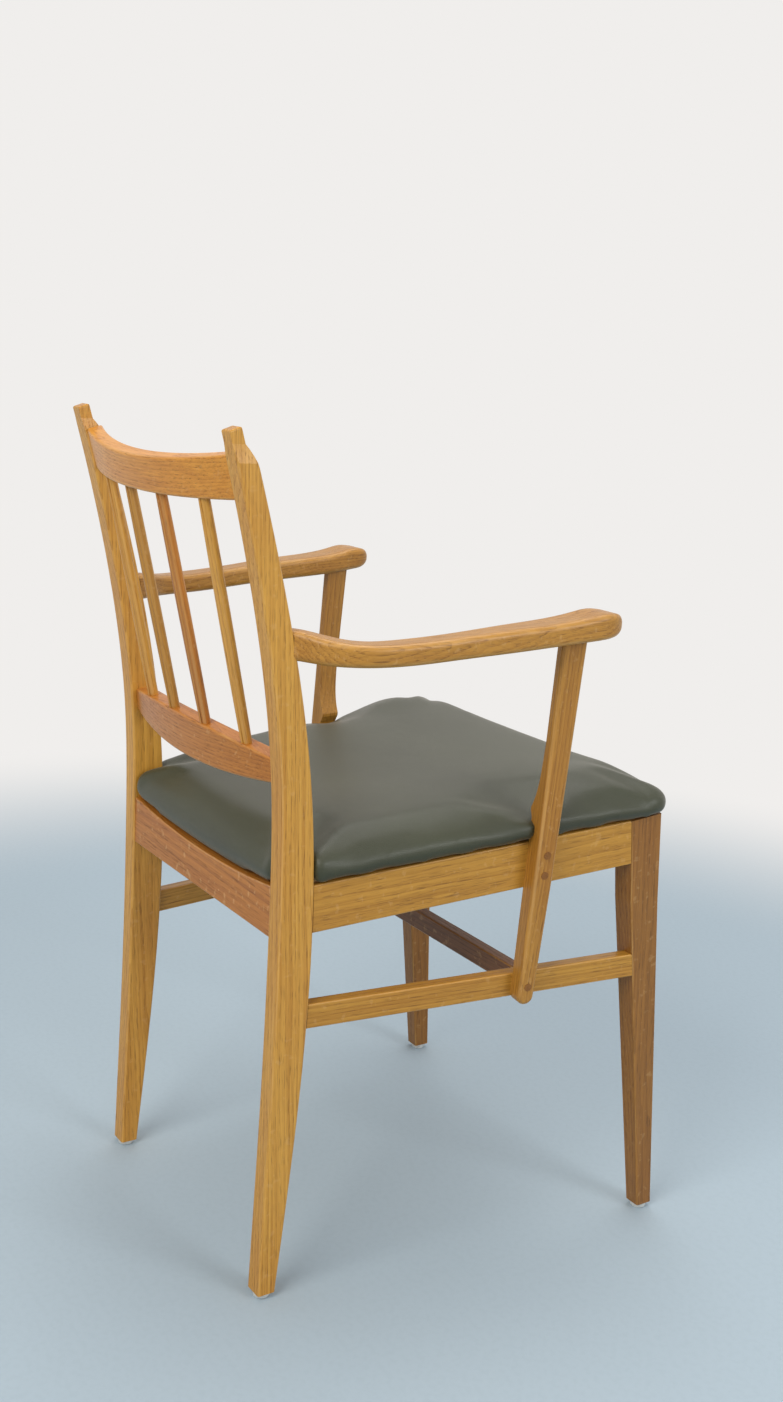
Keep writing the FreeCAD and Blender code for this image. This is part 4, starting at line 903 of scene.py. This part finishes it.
@dataclass(frozen=True)
class Lamp:
    """A square soft lamp that points at the chair."""

    name: str
    place: Triple
    side: float
    power: float
    colour: Triple

    def hang(self, aim: Vector) -> None:
        """Hang the lamp.

        Args:
            aim: The place that it points at.
        """
        data = bpy.data.lights.new(self.name, "AREA")
        data.shape = "SQUARE"
        data.size = self.side
        data.energy = self.power
        data.color = self.colour
        lamp = bpy.data.objects.new(self.name, data)
        lamp.location = self.place
        lamp.rotation_euler = (aim - Vector(self.place)).to_track_quat("-Z", "Y").to_euler()
        bpy.context.scene.collection.objects.link(lamp)


@dataclass
class Studio:
    """The camera, the lamps and the pale floor."""

    place: Triple = (-1.2354, 0.7926, 0.8540)
    yaw: float = 2.16145418
    pitch: float = 0.224664593
    roll: float = 0.0579843311
    focal_pixels: float = 1506.9
    frame_height: float = 1402.0
    sensor: float = 36.0
    floor_reach: float = 14.0
    floor_edge: tuple[float, float] = (0.95, 1.75)
    glow: Triple = (0.95, 0.97, 1.0)
    glow_strength: float = 0.52
    background: Triple = srgb(240, 238, 236)
    floor_colour: Triple = srgb(176, 192, 202)
    speck_colour: Triple = srgb(166, 182, 192)
    specks: Cloud = Cloud((160.0, 160.0, 160.0), 3.0)
    aim: Triple = (0.0, 0.0, 0.45)
    lamps: tuple[Lamp, ...] = (
        Lamp("key", (-0.9, 2.3, 2.4), 1.6, 46.0, (1.0, 0.97, 0.92)),
        Lamp("fill", (-2.6, -0.9, 1.7), 1.1, 26.0, (0.96, 0.98, 1.0)),
        Lamp("top", (0.5, -0.6, 3.0), 1.6, 26.0, (1.0, 0.98, 0.95)),
    )

    def set_up(self) -> None:
        """Set the whole studio up."""
        self.set_camera()
        self.lay_floor()
        self.light_world()
        self.hang_lamps()
        bpy.context.scene.view_settings.view_transform = "Standard"
        LOG.info("set the camera, the lamps and the floor")

    def set_camera(self) -> None:
        """Stand the camera where the photograph was taken from."""
        data = bpy.data.cameras.new("camera")
        data.sensor_fit = "AUTO"
        data.sensor_width = self.sensor
        data.lens = self.focal_pixels / self.frame_height * self.sensor
        camera = bpy.data.objects.new("camera", data)
        bpy.context.scene.collection.objects.link(camera)
        ahead = Vector((math.sin(self.yaw) * math.cos(self.pitch), math.cos(self.yaw) * math.cos(self.pitch),
                        -math.sin(self.pitch)))
        right = Vector((math.cos(self.yaw), -math.sin(self.yaw), 0.0))
        above = right.cross(ahead)
        level = math.cos(self.roll) * right + math.sin(self.roll) * above
        upright = math.cos(self.roll) * above - math.sin(self.roll) * right
        camera.matrix_world = Matrix((level, upright, -ahead)).transposed().to_4x4()
        camera.location = self.place
        bpy.context.scene.camera = camera

    def lay_floor(self) -> None:
        """Lay a pale floor that fades into the background far away."""
        reach = self.floor_reach
        mesh = bpy.data.meshes.new("floor")
        corners = [(-reach, -reach, 0.0), (reach, -reach, 0.0), (reach, reach, 0.0), (-reach, reach, 0.0)]
        mesh.from_pydata(corners, [], [(0, 1, 2, 3)])
        floor = bpy.data.objects.new("floor", mesh)
        bpy.context.scene.collection.objects.link(floor)
        bench = Bench("floor")
        speck = bench.noise(bench.point, self.specks)
        colour = bench.blend(speck.ease(0.4, 0.7) * 0.25, self.floor_colour, self.speck_colour)
        matt = bench.node("ShaderNodeBsdfPrincipled", None, {"Base Color": colour, "Roughness": 0.7})
        haze = bench.node("ShaderNodeEmission", None, {"Color": self.background, "Strength": 1.0})
        distance = bench.node("ShaderNodeVectorMath", {"operation": "LENGTH"}, {0: bench.point})
        fade = Reading(bench, distance.outputs["Value"]).ease(*self.floor_edge) * bench.seen()
        mixed = bench.node("ShaderNodeMixShader", None, {0: fade, 1: matt.outputs[0], 2: haze.outputs[0]})
        bench.node("ShaderNodeOutputMaterial", None, {"Surface": mixed.outputs[0]})
        mesh.materials.append(bench.material)

    def light_world(self) -> None:
        """Give an even light all round, and an off-white background to look at."""
        world = bpy.data.worlds.new("studio")
        bench = Bench("studio", world)
        seen = bench.node("ShaderNodeBackground", None, {"Color": self.background})
        glow = bench.node("ShaderNodeBackground", None, {"Color": self.glow, "Strength": self.glow_strength})
        inputs = {0: bench.seen(), 1: glow.outputs[0], 2: seen.outputs[0]}
        mixed = bench.node("ShaderNodeMixShader", None, inputs)
        bench.node("ShaderNodeOutputWorld", None, {"Surface": mixed.outputs[0]})
        bpy.context.scene.world = world

    def hang_lamps(self) -> None:
        """Hang a large key lamp behind the sitter's right, a fill and a top lamp."""
        for lamp in self.lamps:
            lamp.hang(Vector(self.aim))


def main() -> None:
    """Dress the frame, make the pad, and set the studio up."""
    logging.basicConfig(level=logging.INFO, format="%(message)s")
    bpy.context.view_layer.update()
    for assembly in (Back(), Underframe(), Arms(), Fittings()):
        assembly.dress_all()
        LOG.info("finished %s", type(assembly).__name__)
    SeatPad().make()
    Studio().set_up()


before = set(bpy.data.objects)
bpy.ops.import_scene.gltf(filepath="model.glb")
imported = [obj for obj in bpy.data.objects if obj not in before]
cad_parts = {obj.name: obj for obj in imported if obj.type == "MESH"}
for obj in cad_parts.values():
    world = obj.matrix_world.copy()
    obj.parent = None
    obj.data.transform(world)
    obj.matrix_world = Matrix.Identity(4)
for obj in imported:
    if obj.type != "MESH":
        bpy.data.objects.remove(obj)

if __name__ == "__main__":
    main()
